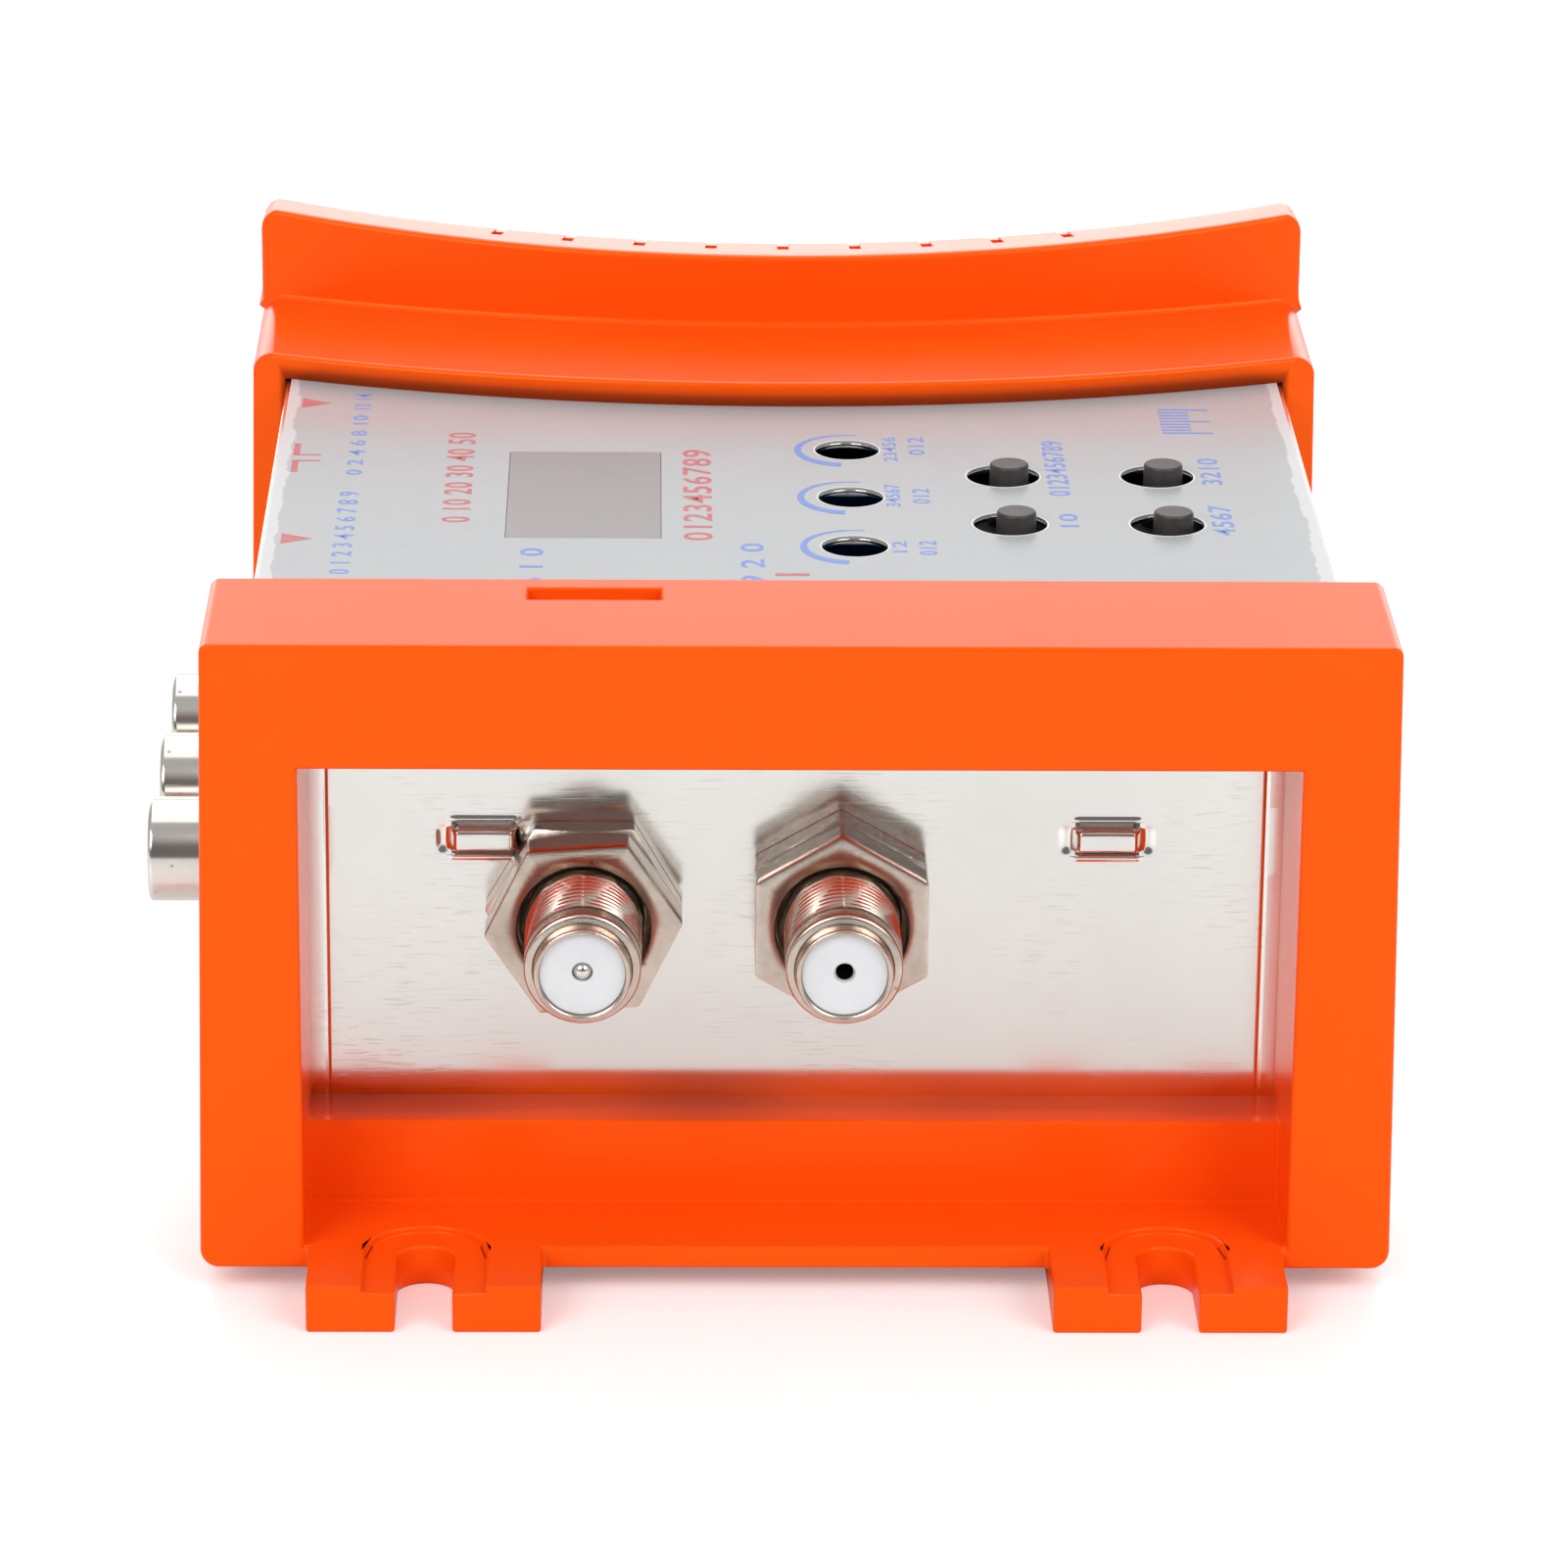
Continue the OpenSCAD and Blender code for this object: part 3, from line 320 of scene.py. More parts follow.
def laminate():
    """Green board: a weave under solder mask, with darker tracks in steps of a tenth of an inch."""
    f = Finish("board laminate", IOR=1.5)
    grain = f.mottle(250.0, 1.0)
    step = 2.54 * MM
    tracks = add(f.tree, "ShaderNodeTexBrick", {
        "Vector": f.place, "Scale": 1.0, "Mortar Size": 0.0003, "Brick Width": 5 * step, "Row Height": step,
        "Color1": (1, 1, 1, 1), "Color2": (0.7, 0.7, 0.7, 1), "Mortar": (0.2, 0.2, 0.2, 1)}).outputs[1]
    green = f.mix(f.spread(grain), (0.010, 0.085, 0.035, 1), (0.016, 0.12, 0.05, 1))
    f.set("Base Color", f.mix(times(f.tree, tracks, 0.5), green, (0.03, 0.2, 0.09, 1)))
    f.set("Roughness", f.spread(grain, 0.3, 0.4))
    f.bump(tracks, 0.03, 0.5)
    return f.material


def print_ink(name, colour):
    """Screen-printed ink: an even colour with slight thin patches."""
    f = Finish(name, IOR=1.45)
    grain = f.mottle(900.0, 1.2)
    pale = tuple(0.75 * c + 0.25 * 0.5 for c in colour[:3]) + (1,)
    f.set("Base Color", f.mix(f.spread(grain, start=0.42, end=0.75), colour, pale))
    f.set("Roughness", f.spread(grain, 0.35, 0.45))
    return f.material


ORANGE = orange_gloss()
TIN = tinplate()
JACK_NICKEL = nickel("jack nickel", (0.70, 0.62, 0.54, 1), (0.50, 0.42, 0.35, 1), 0.2, 0.012)
SHELL_NICKEL = nickel("shell nickel", (0.80, 0.77, 0.72, 1), (0.72, 0.68, 0.62, 1), 0.12, 0.004)
SCREW_NICKEL = nickel("screw nickel", (0.70, 0.69, 0.66, 1), (0.6, 0.58, 0.55, 1), 0.3, 0.01)
BRASS = nickel("contact brass", (0.78, 0.60, 0.30, 1), (0.65, 0.47, 0.2, 1), 0.25, 0.005)
LABEL = label_film()
WINDOW = window_film()
WHITE = plain_plastic("white insulator", (0.66, 0.68, 0.70, 1), (0.73, 0.75, 0.77, 1), 0.4, 120.0, 0.006)
BLACK = plain_plastic("black plastic", (0.012, 0.012, 0.013, 1), (0.02, 0.02, 0.021, 1), 0.45)
CHARCOAL = plain_plastic("charcoal button", (0.030, 0.028, 0.027, 1), (0.045, 0.042, 0.040, 1), 0.42, 420.0)
BLUE_PLASTIC = plain_plastic("trimmer blue", (0.02, 0.10, 0.32, 1), (0.03, 0.13, 0.38, 1), 0.4)
ROTOR_WHITE = plain_plastic("trimmer rotor", (0.75, 0.74, 0.70, 1), (0.84, 0.83, 0.79, 1), 0.45)
SLEEVE_BLUE = plain_plastic("capacitor sleeve", (0.015, 0.035, 0.13, 1), (0.02, 0.045, 0.16, 1), 0.3)
DISPLAY = plain_plastic("display face", (0.010, 0.009, 0.009, 1), (0.016, 0.014, 0.013, 1), 0.22)
LED_RED = plain_plastic("red lens", (0.55, 0.012, 0.01, 1), (0.62, 0.02, 0.014, 1), 0.12, 300.0, 0.002,
                        Transmission_Weight=0.35)
BOARD = laminate()
BLUE_INK = print_ink("blue ink", (0.10, 0.22, 0.62, 1))
RED_INK = print_ink("red ink", (0.52, 0.075, 0.08, 1))
PALE_EDGE = print_ink("film edge", (0.72, 0.73, 0.73, 1))


# Meshes

def grid(points, close_rows=False, close_columns=False):
    """A grid of points and the quads that join it; rows and columns may close on themselves."""
    n, m = points.shape[:2]
    rows, columns = np.arange(n if close_rows else n - 1), np.arange(m if close_columns else m - 1)
    i, j = np.meshgrid(rows, columns, indexing="ij")
    i2, j2 = (i + 1) % n, (j + 1) % m
    quads = np.stack([i * m + j, i2 * m + j, i2 * m + j2, i * m + j2], -1).reshape(-1, 4)
    return points.reshape(-1, 3), quads


def on_front(x, z):
    """Carries (across, up, out) from the end plate's face at (x, z) to drawing places: out is towards -Y."""
    return lambda p: np.stack([x + p[..., 0], RECESS - p[..., 2], z + p[..., 1]], -1)


def on_side(y, z):
    """Carries (up, along, out) from the case's left side to drawing places: out is towards -X."""
    return lambda p: np.stack([-CASE_HALF - p[..., 2], y + p[..., 1], z + p[..., 0]], -1)


def upright(x, y):
    """Carries (across, along, up) to a drawing place."""
    return lambda p: np.stack([x + p[..., 0], y + p[..., 1], p[..., 2]], -1)


def turned(profile, carry, steps=72):
    """A closed profile of (radius, height) carried all the way round its axis: (r cos t, r sin t, h)."""
    profile = np.asarray(profile, float)
    t = np.linspace(0, 2 * np.pi, steps, endpoint=False)
    r, h = profile[:, :1], profile[:, 1:]
    points = np.stack([r * np.cos(t), r * np.sin(t), h * np.ones_like(t)], -1)
    return grid(carry(points), close_rows=True, close_columns=True)


def fillet(centre, radius, start, end, steps=6):
    """Points of an arc of a profile, from one angle in degrees to another."""
    a = np.radians(np.linspace(start, end, steps))
    return [(centre[0] + radius * np.cos(k), centre[1] + radius * np.sin(k)) for k in a]


SMOOTH_LIMIT = 32  # degrees between faces, above which an edge of a drawn piece stays sharp
SKIN_LIMIT = 35    # the same for a CAD copy that carries a drawn skin
LEAST_ANGLE = 28   # degrees between faces, above which an edge of a CAD copy is rounded


def piece(name, parts, finish, body="case", replaces=()):
    """One object from several arrays of points and faces, merged, shaded smooth between its sharp edges."""
    points, faces, start = [], [], 0
    for verts, quads in parts:
        points.append(metres(verts))
        faces += [[int(k) + start for k in quad] for quad in quads]
        start += len(points[-1])
    mesh = bpy.data.meshes.new(name)
    mesh.from_pydata(np.concatenate(points).tolist(), [], faces)
    built = bmesh.new()
    built.from_mesh(mesh)
    bmesh.ops.remove_doubles(built, verts=built.verts, dist=1e-7)
    bmesh.ops.dissolve_degenerate(built, edges=built.edges, dist=1e-8)
    bmesh.ops.recalc_face_normals(built, faces=built.faces)
    built.to_mesh(mesh)
    built.free()
    dressed(name, mesh, finish, body, replaces, SMOOTH_LIMIT)


def dressed(name, mesh, finish, body, replaces, sharp):
    """A mesh made into a piece that rides on a body, with its finish and the nodes it stands for."""
    mesh.shade_smooth()
    mesh.set_sharp_from_angle(angle=math.radians(sharp))
    made = bpy.data.objects.new(name, mesh)
    bpy.context.scene.collection.objects.link(made)
    mesh.materials.clear()
    mesh.materials.append(finish)
    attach(made, body)
    if replaces:
        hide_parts(*replaces)
    return made


def places(verts):
    """Drawing places of some of a mesh's points."""
    return drawing([v.co for v in verts])


def seam_across(built, x, below):
    """A seam at x through the faces that lie under a height, so that a joined face never has a hole in it."""
    part = [f for f in built.faces if places(f.verts)[:, 2].max() < below]
    edges, verts = {e for f in part for e in f.edges}, {v for f in part for v in f.verts}
    split = bmesh.ops.bisect_plane(built, geom=list(verts) + list(edges) + part, dist=1e-7,
                                   plane_co=metres((x, 0, 0))[0], plane_no=(1, 0, 0))
    for made in split["geom_cut"]:
        if isinstance(made, bmesh.types.BMEdge):
            made.seam = True


def weigh_edges(built, ease):
    """Each edge's rounding as a bevel weight: ease(middle, convex) in millimetres."""
    weight = built.edges.layers.float.new("bevel_weight_edge")
    for edge in built.edges:
        if len(edge.link_faces) == 2 and edge.calc_face_angle(0) > math.radians(LEAST_ANGLE):
            edge[weight] = ease(places(edge.verts).mean(0), edge.is_convex)


def eased_copy(node, finish, ease, cuts=(), shape=None, leave=None, segments=3, extra=()):
    """A merged copy of a CAD node with its sharp edges rounded by ease(middle, convex). Its flat faces are
    joined, apart from seams at cuts, which are places along X with a height. Shape moves its points, leave
    names faces, by their points, that are left out, and extra is what takes their place."""
    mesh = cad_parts[node].data.copy()
    mesh.name = node + "_eased"
    built = bmesh.new()
    built.from_mesh(mesh)
    bmesh.ops.remove_doubles(built, verts=built.verts, dist=1e-6)
    bmesh.ops.dissolve_degenerate(built, edges=built.edges, dist=1e-6)
    for x, below in cuts:
        seam_across(built, x, below)
    bmesh.ops.dissolve_limit(built, angle_limit=math.radians(0.5), verts=built.verts, edges=built.edges,
                             delimit={"SEAM"})
    if leave:
        gone = [f for f in built.faces if leave(places(f.verts))]
        bmesh.ops.delete(built, geom=gone, context="FACES")
    if shape:
        for vert, place in zip(built.verts, metres(shape(places(built.verts)))):
            vert.co = place
    weigh_edges(built, ease)
    for verts, quads in extra:
        made = [built.verts.new(p) for p in metres(verts)]
        for quad in quads:
            built.faces.new([made[k] for k in quad])
    built.to_mesh(mesh)
    built.free()
    copy = dressed(node + "_eased", mesh, finish, "case", (node,), SKIN_LIMIT if extra else 180)
    rounding = copy.modifiers.new("rounded edges", "BEVEL")
    rounding.limit_method = "WEIGHT"
    rounding.width = MM
    rounding.segments = segments
    rounding.use_clamp_overlap = False
    evening = copy.modifiers.new("even normals", "WEIGHTED_NORMAL")
    evening.weight = 100
    evening.keep_sharp = bool(extra)


# End caps and case

ARC_MIDDLE = 223.1                   # Y of the middle of the rear bar's arc
BAR_FRONT, BAR_BACK = 134.7, 128.0   # distances of the bar's front and back from there
BAR_FOOT, DECK = 58, 54              # heights under which an edge isn't the bar's, or the deck's
DISH, DISH_HALF = 1.85, 47.35        # drop of the bar's top in its middle, and half its width
VENTS, VENT_PITCH, WEB_WIDTH, WEB_DEEP = 9, 6.4, 1.04, 2.4
BRIDGES_X, BRIDGE_Z = (-25.4, 25.4), 33.7   # middles of the end plate's two bridges
GROOVE_X = 38.3                             # the plate's fine groove, on either side
SLIT_LOW, SLIT_HIGH, SLIT_END = 0.951, 1.5, 2.62   # edges of a slit, from the middle of its strip
FLOOR_TOP = 3.8                      # just under the floor flange's top


def from_arc_middle(points):
    """Distance in plan from the middle of the rear bar's arc."""
    return np.hypot(points[..., 0], points[..., 1] - ARC_MIDDLE)


def against_case(middle):
    """Whether an edge is hidden against the case's sides, top or label."""
    return abs(middle[0]) < CASE_HALF + 0.4 and FLOOR_TOP < middle[2] < LABEL_TOP + 0.2


def rear_ease(middle, convex):
    """Broad rounding on the bar's front edge and on the lip, fine rounding round the vent slots."""
    out = from_arc_middle(middle)
    if middle[1] < CASE_END + 0.1 and against_case(middle):
        return 0.0
    if middle[2] > BAR_FOOT:
        if out > BAR_FRONT - 0.4:
            return 0.6
        return 0.1 if abs(middle[0]) < 30 and out < BAR_BACK + 5 else 0.4
    if middle[2] > DECK:
        return 0.45 if convex else 0.6
    return 0.3 if convex else 0.15


def tilted_bar(points):
    """The bar's top falls away to the rear: lowered by a tenth of the distance behind the bar's front."""
    behind = np.clip(BAR_FRONT - from_arc_middle(points), 0, None)
    points = points.copy()
    points[:, 2] -= np.where(points[:, 2] > BAR_FOOT + 2, 0.1 * behind, 0.0)
    return points


def front_ease(middle, convex):
    """A fuller rounding along the cap's top and face, and a fine one in the slots and the latch pocket."""
    if middle[1] > RECESS - 0.4 and against_case(middle):
        return 0.0
    if abs(middle[1]) < 0.3:
        return 0.35
    return 0.25 if convex else 0.15


def plate_height(x, z):
    """Height of the end plate's skin: flat, with two strips pushed out between slits, and a soft dent at
    each end of a strip. A fine groove runs down beside each side of the recess."""
    height = -0.12 * np.exp(-((np.abs(x) - GROOVE_X) / 0.12) ** 2)
    across = np.abs(z - BRIDGE_Z)
    for middle in BRIDGES_X:
        along = np.abs(x - middle)
        rise = np.clip((3.0 - along) / 0.85, 0, 1)
        strip = 0.95 * rise ** 2 * (3 - 2 * rise) - 0.05 * np.exp(-(along / 1.2) ** 2)
        height = height - 0.22 * np.exp(-((along - 3.35) / 0.5) ** 2 - (across / 1.1) ** 4)
        rounded = height + strip - 0.25 * (across / SLIT_LOW) ** 6 * (rise > 0.5)
        height = np.where(across <= SLIT_LOW, rounded, height)
        in_slit = (across > SLIT_LOW) & (across < SLIT_HIGH) & (along < SLIT_END)
        height = np.where(in_slit, -1.3, height)
        edge = 0.12 * np.exp(-((across - 1.65) / 0.22) ** 2) * np.clip((3.0 - along) / 0.6, 0, 1)
        height = height + np.where(across >= SLIT_HIGH, edge, 0.0)
    return height


def plate_skin():
    """Grid over the end plate with close lines round the strips: (x, 15 - height(x, z), z)."""
    def close_lines(middles, near, steps):
        """Even steps from near before each middle to near behind it."""
        return [m + s * near for m in middles for s in np.linspace(-1, 1, steps)]
    left, right, low, high, coarse = -CASE_HALF + 0.5, CASE_HALF - 0.5, 4.5, 52.6, 1.6
    x = list(np.arange(left, right, coarse)) + close_lines(BRIDGES_X, 4.6, 90) + [right]
    x += [m + s * k for m in BRIDGES_X for s in (-1, 1) for k in (SLIT_END - 0.005, SLIT_END + 0.005)]
    x += [s * (GROOVE_X + k) for s in (-1, 1) for k in (-0.3, -0.2, -0.1, 0, 0.1, 0.2, 0.3)]
    z = list(np.arange(low, high, coarse)) + close_lines((BRIDGE_Z,), 2.7, 70) + [high]
    z += [BRIDGE_Z + s * k for s in (-1, 1) for k in (0.95, 0.952, 1.495, 1.505)]
    xx, zz = np.meshgrid(np.unique(np.round(x, 4)), np.unique(np.round(z, 4)), indexing="ij")
    return grid(np.stack([xx, RECESS - plate_height(xx, zz), zz], -1))


def vent_webs():
    """A short wall across the rear end of each vent slot, its top level with the bar's dished, tilted top."""
    dish_radius = (DISH_HALF ** 2 + DISH ** 2) / (2 * DISH)
    webs = []
    for k in range(VENTS):
        turn = (k - (VENTS - 1) / 2) * VENT_PITCH / BAR_BACK
        out = np.array([math.sin(turn), -math.cos(turn)])
        side = np.array([math.cos(turn), math.sin(turn)]) * WEB_WIDTH / 2
        corners = []
        for reach in (BAR_BACK + 0.03, BAR_BACK + 0.95):
            for sign in (-1, 1):
                x, y = out * reach + (0.0, ARC_MIDDLE) + sign * side
                top = BAR_TOP - DISH + dish_radius - math.sqrt(dish_radius ** 2 - x * x) - 0.02
                corners += [(x, y, top - WEB_DEEP), (x, y, top)]
        faces = [(0, 1, 3, 2), (4, 6, 7, 5), (0, 4, 5, 1), (2, 3, 7, 6), (1, 5, 7, 3), (0, 2, 6, 4)]
        webs.append((tilted_bar(np.array(corners)), faces))
    piece("vent_webs", webs, ORANGE)


WHOLE = 99.0                         # a height over everything
SCREWS_X = drawing_box("cap_screws")[1][0] - 2.8
CAP_CUTS = [(0.0, WHOLE), (-SCREWS_X, 20.0), (SCREWS_X, 20.0)]
PORT_CUTS = [(26.0, 52.0), (-12.0, 52.0)]
eased_copy("front_end_cap", ORANGE, front_ease, CAP_CUTS)
eased_copy("rear_end_cap", ORANGE, rear_ease, CAP_CUTS + PORT_CUTS, tilted_bar)
vent_webs()
eased_copy("chassis_frame", TIN, lambda middle, convex: 0.0,
           leave=lambda points: points[:, 1].max() < RECESS + 0.01, extra=[plate_skin()])
for cover in ("top_cover", "bottom_cover"):
    eased_copy(cover, TIN, lambda middle, convex: 0.12, segments=2)


# Coaxial jacks

COAX_Z = 28.2
HEX_BACK, HEX_GAP, NUT, BARREL = 2.6, 0.4, 3.6, 10.0
NUT_BACK = HEX_BACK + HEX_GAP
NUT_FRONT = NUT_BACK + NUT
TIP = NUT_FRONT + BARREL
THREAD_PITCH = 25.4 / 32
THREAD_RADIUS, THREAD_DEPTH = 4.76, 0.33
HEX_INRADIUS, HEX_CORNER, CHAMFER_RADIUS, CHAMFER_SLOPE = 7.0, 0.45, 6.75, 0.5
INSIDE = -4.5                        # how far a jack's pieces reach behind the end plate


def hex_outline(inset, turn):
    """A hexagon with round corners, drawn in by inset: arcs about the corners of a smaller hexagon, and
    between them points along each straight side."""
    sixth, steps, along = math.pi / 6, 5, 9
    r = max(HEX_CORNER - inset, 0.02)
    pull = (HEX_INRADIUS - HEX_CORNER - max(inset - HEX_CORNER + 0.02, 0.0)) / math.cos(sixth)
    corners = []
    for k in range(6):
        middle = math.radians(turn + 60 * k)
        a = middle + np.linspace(-sixth, sixth, steps)
        arc = r * np.stack([np.cos(a), np.sin(a)], -1)
        corners.append(arc + pull * np.array([math.cos(middle), math.sin(middle)]))
    share = np.linspace(0, 1, along + 2)[1:-1, None]
    rows = []
    for k in range(6):
        rows += [corners[k], corners[k][-1] * (1 - share) + corners[(k + 1) % 6][0] * share]
    return np.concatenate(rows)


def hexagon_with_bore(stations, carry, turn):
    """Rings carried along the axis: (inset, height) is a hexagon, ("cone", height, side) the hexagon where a
    turned chamfer meets it, so lower at its corners, and ("round", radius, height) a circle."""
    outline = hex_outline(0.0, turn)
    angles, far = np.arctan2(outline[:, 1], outline[:, 0]), np.hypot(outline[:, 0], outline[:, 1])
    rings = []
    for station in stations:
        height = np.full(len(outline), float(station[-1]))
        if station[0] == "round":
            ring = station[1] * np.stack([np.cos(angles), np.sin(angles)], -1)
        elif station[0] == "cone":
            ring = outline
            height = station[1] - station[2] * CHAMFER_SLOPE * (far - CHAMFER_RADIUS)
        else:
            ring = hex_outline(station[0], turn)
        rings.append(np.concatenate([ring, height[:, None]], -1))
    return grid(carry(np.array(rings)), close_rows=True, close_columns=True)


def barrel_thread(carry, low, high):
    """Screw thread: radius less depth times a rounded V of (height / pitch - turn), faded at the top, with a
    fine seam along the barrel."""
    seam = math.pi / 2 + np.array([-0.05, -0.025, -0.012, 0.0, 0.012, 0.025, 0.05])
    t = np.sort(np.concatenate([np.linspace(0, 2 * np.pi, 84, endpoint=False), seam]))
    t = t[np.concatenate([[True], np.diff(t) > 1e-4])]
    h = np.linspace(low, high, int((high - low) / THREAD_PITCH * 10))
    tt, hh = np.meshgrid(t, h)
    phase = hh / THREAD_PITCH - tt / (2 * np.pi)
    wave = np.abs(2 * (phase - np.floor(phase)) - 1)
    fade = np.clip((high - hh) / THREAD_PITCH, 0, 1)
    groove = 0.06 * np.exp(-((tt - math.pi / 2) / 0.016) ** 2)
    r = THREAD_RADIUS - 0.04 - THREAD_DEPTH * np.clip(wave * 1.25 - 0.12, 0, 1) * fade - groove
    return grid(carry(np.stack([r * np.cos(tt), r * np.sin(tt), hh], -1)), close_columns=True)


def coaxial_jack(which, x, body_turn, nut_turn, hollow):
    """Body, nut, insulator and contact of one coaxial jack on the end plate."""
    carry = on_front(x, COAX_Z)
    band, shoulder = TIP - 3.1, TIP - 1.35
    tip_profile = [(4.68, band - 0.05), (4.7, band + 0.15), (4.7, shoulder - 0.45)]
    tip_profile += fillet((4.35, shoulder - 0.4), 0.35, 0, 90)
    tip_profile += [(4.05, shoulder), (3.98, shoulder - 0.1), (3.93, shoulder + 0.15), (3.9, TIP - 0.3)]
    tip_profile += fillet((3.68, TIP - 0.22), 0.22, 0, 150)
    tip_profile += [(3.5, TIP - 0.5), (3.5, HEX_BACK), (4.3, HEX_BACK), (4.3, band - 0.05)]
    flange = [(0.15, 0.0), (0.0, 0.15), (0.0, 1.2), ("cone", HEX_BACK, 1), ("round", 6.7, HEX_BACK),
              ("round", 6.3, HEX_BACK), ("round", 6.2, NUT_BACK), ("round", 4.2, NUT_BACK),
              ("round", 4.2, 0.0)]
    body = [hexagon_with_bore(flange, carry, body_turn),
            turned([(4.5, INSIDE), (4.5, 0.2), (3.55, 0.2), (3.55, INSIDE)], carry),
            barrel_thread(carry, HEX_BACK, band), turned(tip_profile, carry)]
    piece(which + "_body_turned", body, JACK_NICKEL, replaces=(which + "_body",))
    nut = [("round", 4.8, NUT_BACK), ("round", 6.7, NUT_BACK), ("cone", NUT_BACK, -1),
           (0.0, NUT_FRONT - 1.2), (0.0, NUT_FRONT - 0.2), (0.06, NUT_FRONT - 0.06), (0.22, NUT_FRONT),
           ("round", 5.65, NUT_FRONT), ("round", 5.5, NUT_FRONT - 0.08), ("round", 5.42, NUT_FRONT - 0.3),
           ("round", 5.38, NUT_FRONT - 1.4), ("round", 4.8, NUT_FRONT - 1.75)]
    piece(which + "_nut_cut", [hexagon_with_bore(nut, carry, nut_turn)], JACK_NICKEL,
          replaces=(which + "_nut",))
    face = TIP - 0.5
    insulator = [(0.82, INSIDE), (3.5, INSIDE), (3.5, face - 0.12), (3.4, face), (2.6, face - 0.05),
                 (1.5, face - 0.18), (1.1, face - 0.2)]
    insulator += fillet((1.02, face - 0.4), 0.2, 90, 180) + [(0.82, face - 2)]
    piece(which + "_insulator_turned", [turned(insulator, carry, 64)], WHITE,
          replaces=(which + "_insulator",))
    tip = TIP - 1.05
    contact = [(0.8, INSIDE)]
    if hollow:
        contact += [(0.8, tip - 0.3), (0.77, tip - 0.2), (0.72, tip - 0.2), (0.68, tip - 0.35),
                    (0.68, tip - 9), (0.0, tip - 9)]
    else:
        contact += [(0.8, tip - 0.5)] + fillet((0.0, tip - 0.45), 0.8, 5, 90, 9)
    contact += [(0.0, INSIDE)]
    piece(which + "_contact_turned", [turned(contact, carry, 40)], SHELL_NICKEL,
          replaces=(which + "_contact",))


coaxial_jack("antenna_jack", -17.25, 0, 4, hollow=False)
coaxial_jack("output_jack", 3.65, 30, 30, hollow=True)


# Phono jacks

SHELLS_LOW, SHELLS_HIGH = drawing_box("phono_shells")
PHONO_Z = (SHELLS_LOW[2] + SHELLS_HIGH[2]) / 2
PHONO_REACH = -CASE_HALF - SHELLS_LOW[0]
PHONO_FIRST = RECESS + 6.2
PHONO_PITCH = (SHELLS_HIGH[1] - SHELLS_LOW[1] - 8.6) / 2


def phono_jacks():
    """Three jacks in a row: rolled shell, insulator with a stepped face, and a hollow centre contact."""
    rim = PHONO_REACH
    shell = [(3.85, -1.0), (3.85, 3.95), (4.2, 3.95), (4.3, 4.05), (4.3, rim - 0.5)]
    shell += fillet((3.9, rim - 0.42), 0.42, 10, 90) + fillet((3.85, rim - 0.2), 0.2, 90, 180)
    shell += [(3.7, rim - 0.6), (3.7, 4.55), (3.25, 4.55), (3.25, -1.0)]
    face = rim - 1.2
    insulator = [(2.1, -1.0), (3.2, -1.0), (3.2, 4.6), (3.64, 4.6), (3.64, face - 0.1), (3.54, face),
                 (2.9, face), (2.8, face - 0.3), (2.3, face - 0.3), (2.1, face - 0.45)]
    mouth = rim - 2.4
    contact = [(2.0, -13.0), (2.0, mouth - 0.1), (1.9, mouth), (1.75, mouth), (1.65, mouth - 0.12),
               (1.65, -13.0)]
    for name, profile, steps, finish, slot, node in (
            ("phono_shells_rolled", shell, 96, SHELL_NICKEL, "connector_nickel", "phono_shells"),
            ("phono_insulators_turned", insulator, 72, WHITE, "white_insulator", "phono_insulators"),
            ("phono_contacts_turned", contact, 48, BRASS, "contact_brass", "phono_contacts")):
        jacks = [turned(profile, on_side(PHONO_FIRST + k * PHONO_PITCH, PHONO_Z), steps) for k in range(3)]
        piece(name, jacks, finish, replaces=(node,))


phono_jacks()


# Buttons

BUTTONS = ("button_front_left", "button_front_right", "button_rear_left", "button_rear_right")


def buttons():
    """Each plunger turned with a round top edge, a slight draft and its hidden collar."""
    for node in BUTTONS:
        low, high = drawing_box(node)
        x, y = (low[0] + high[0]) / 2, (low[1] + high[1]) / 2
        collar = (high[0] - low[0]) / 2
        r, top, collar_top = collar - 0.5, high[2], low[2] + 1.7
        profile = [(0.0, low[2]), (collar, low[2]), (collar, collar_top), (r, collar_top), (r, LABEL_TOP - 1),
                   (r - 0.04, top - 0.25)]
        profile += fillet((r - 0.27, top - 0.22), 0.22, 10, 90) + [(0.6, top), (0.0, top)]
        piece(node + "_moulded", [turned(profile, upright(x, y), 56)], CHARCOAL, body=node,
              replaces=(node,))


buttons()


# CAD nodes that keep their own shape

KEPT = {
    "top_label": LABEL, "display_window": WINDOW, "cap_screws": SCREW_NICKEL,
    "phono_housing": BLACK, "video_socket_shell": SHELL_NICKEL, "video_socket_tongue": BLACK,
    "mode_switch_body": SHELL_NICKEL, "mode_switch_knob": BLACK, "main_board": BOARD, "control_board": BOARD,
    "board_posts": BRASS, "control_posts": BRASS, "board_screws": SCREW_NICKEL, "board_link": BLACK,
    "tact_switch_bodies": CHARCOAL, "trimmer_bodies": BLUE_PLASTIC, "trimmer_front": ROTOR_WHITE,
    "trimmer_middle": ROTOR_WHITE, "trimmer_rear": ROTOR_WHITE, "digit_display": DISPLAY, "tuner_can": TIN,
    "chips": BLACK, "crystal": SCREW_NICKEL, "capacitors": SLEEVE_BLUE, "voltage_regulator": BLACK,
    "dc_jack_body": BLACK, "dc_jack_pin": SHELL_NICKEL, "power_led": LED_RED}
for node, finish in KEPT.items():
    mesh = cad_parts[node].data
    mesh.materials.clear()
    mesh.materials.append(finish)


# Print on the label

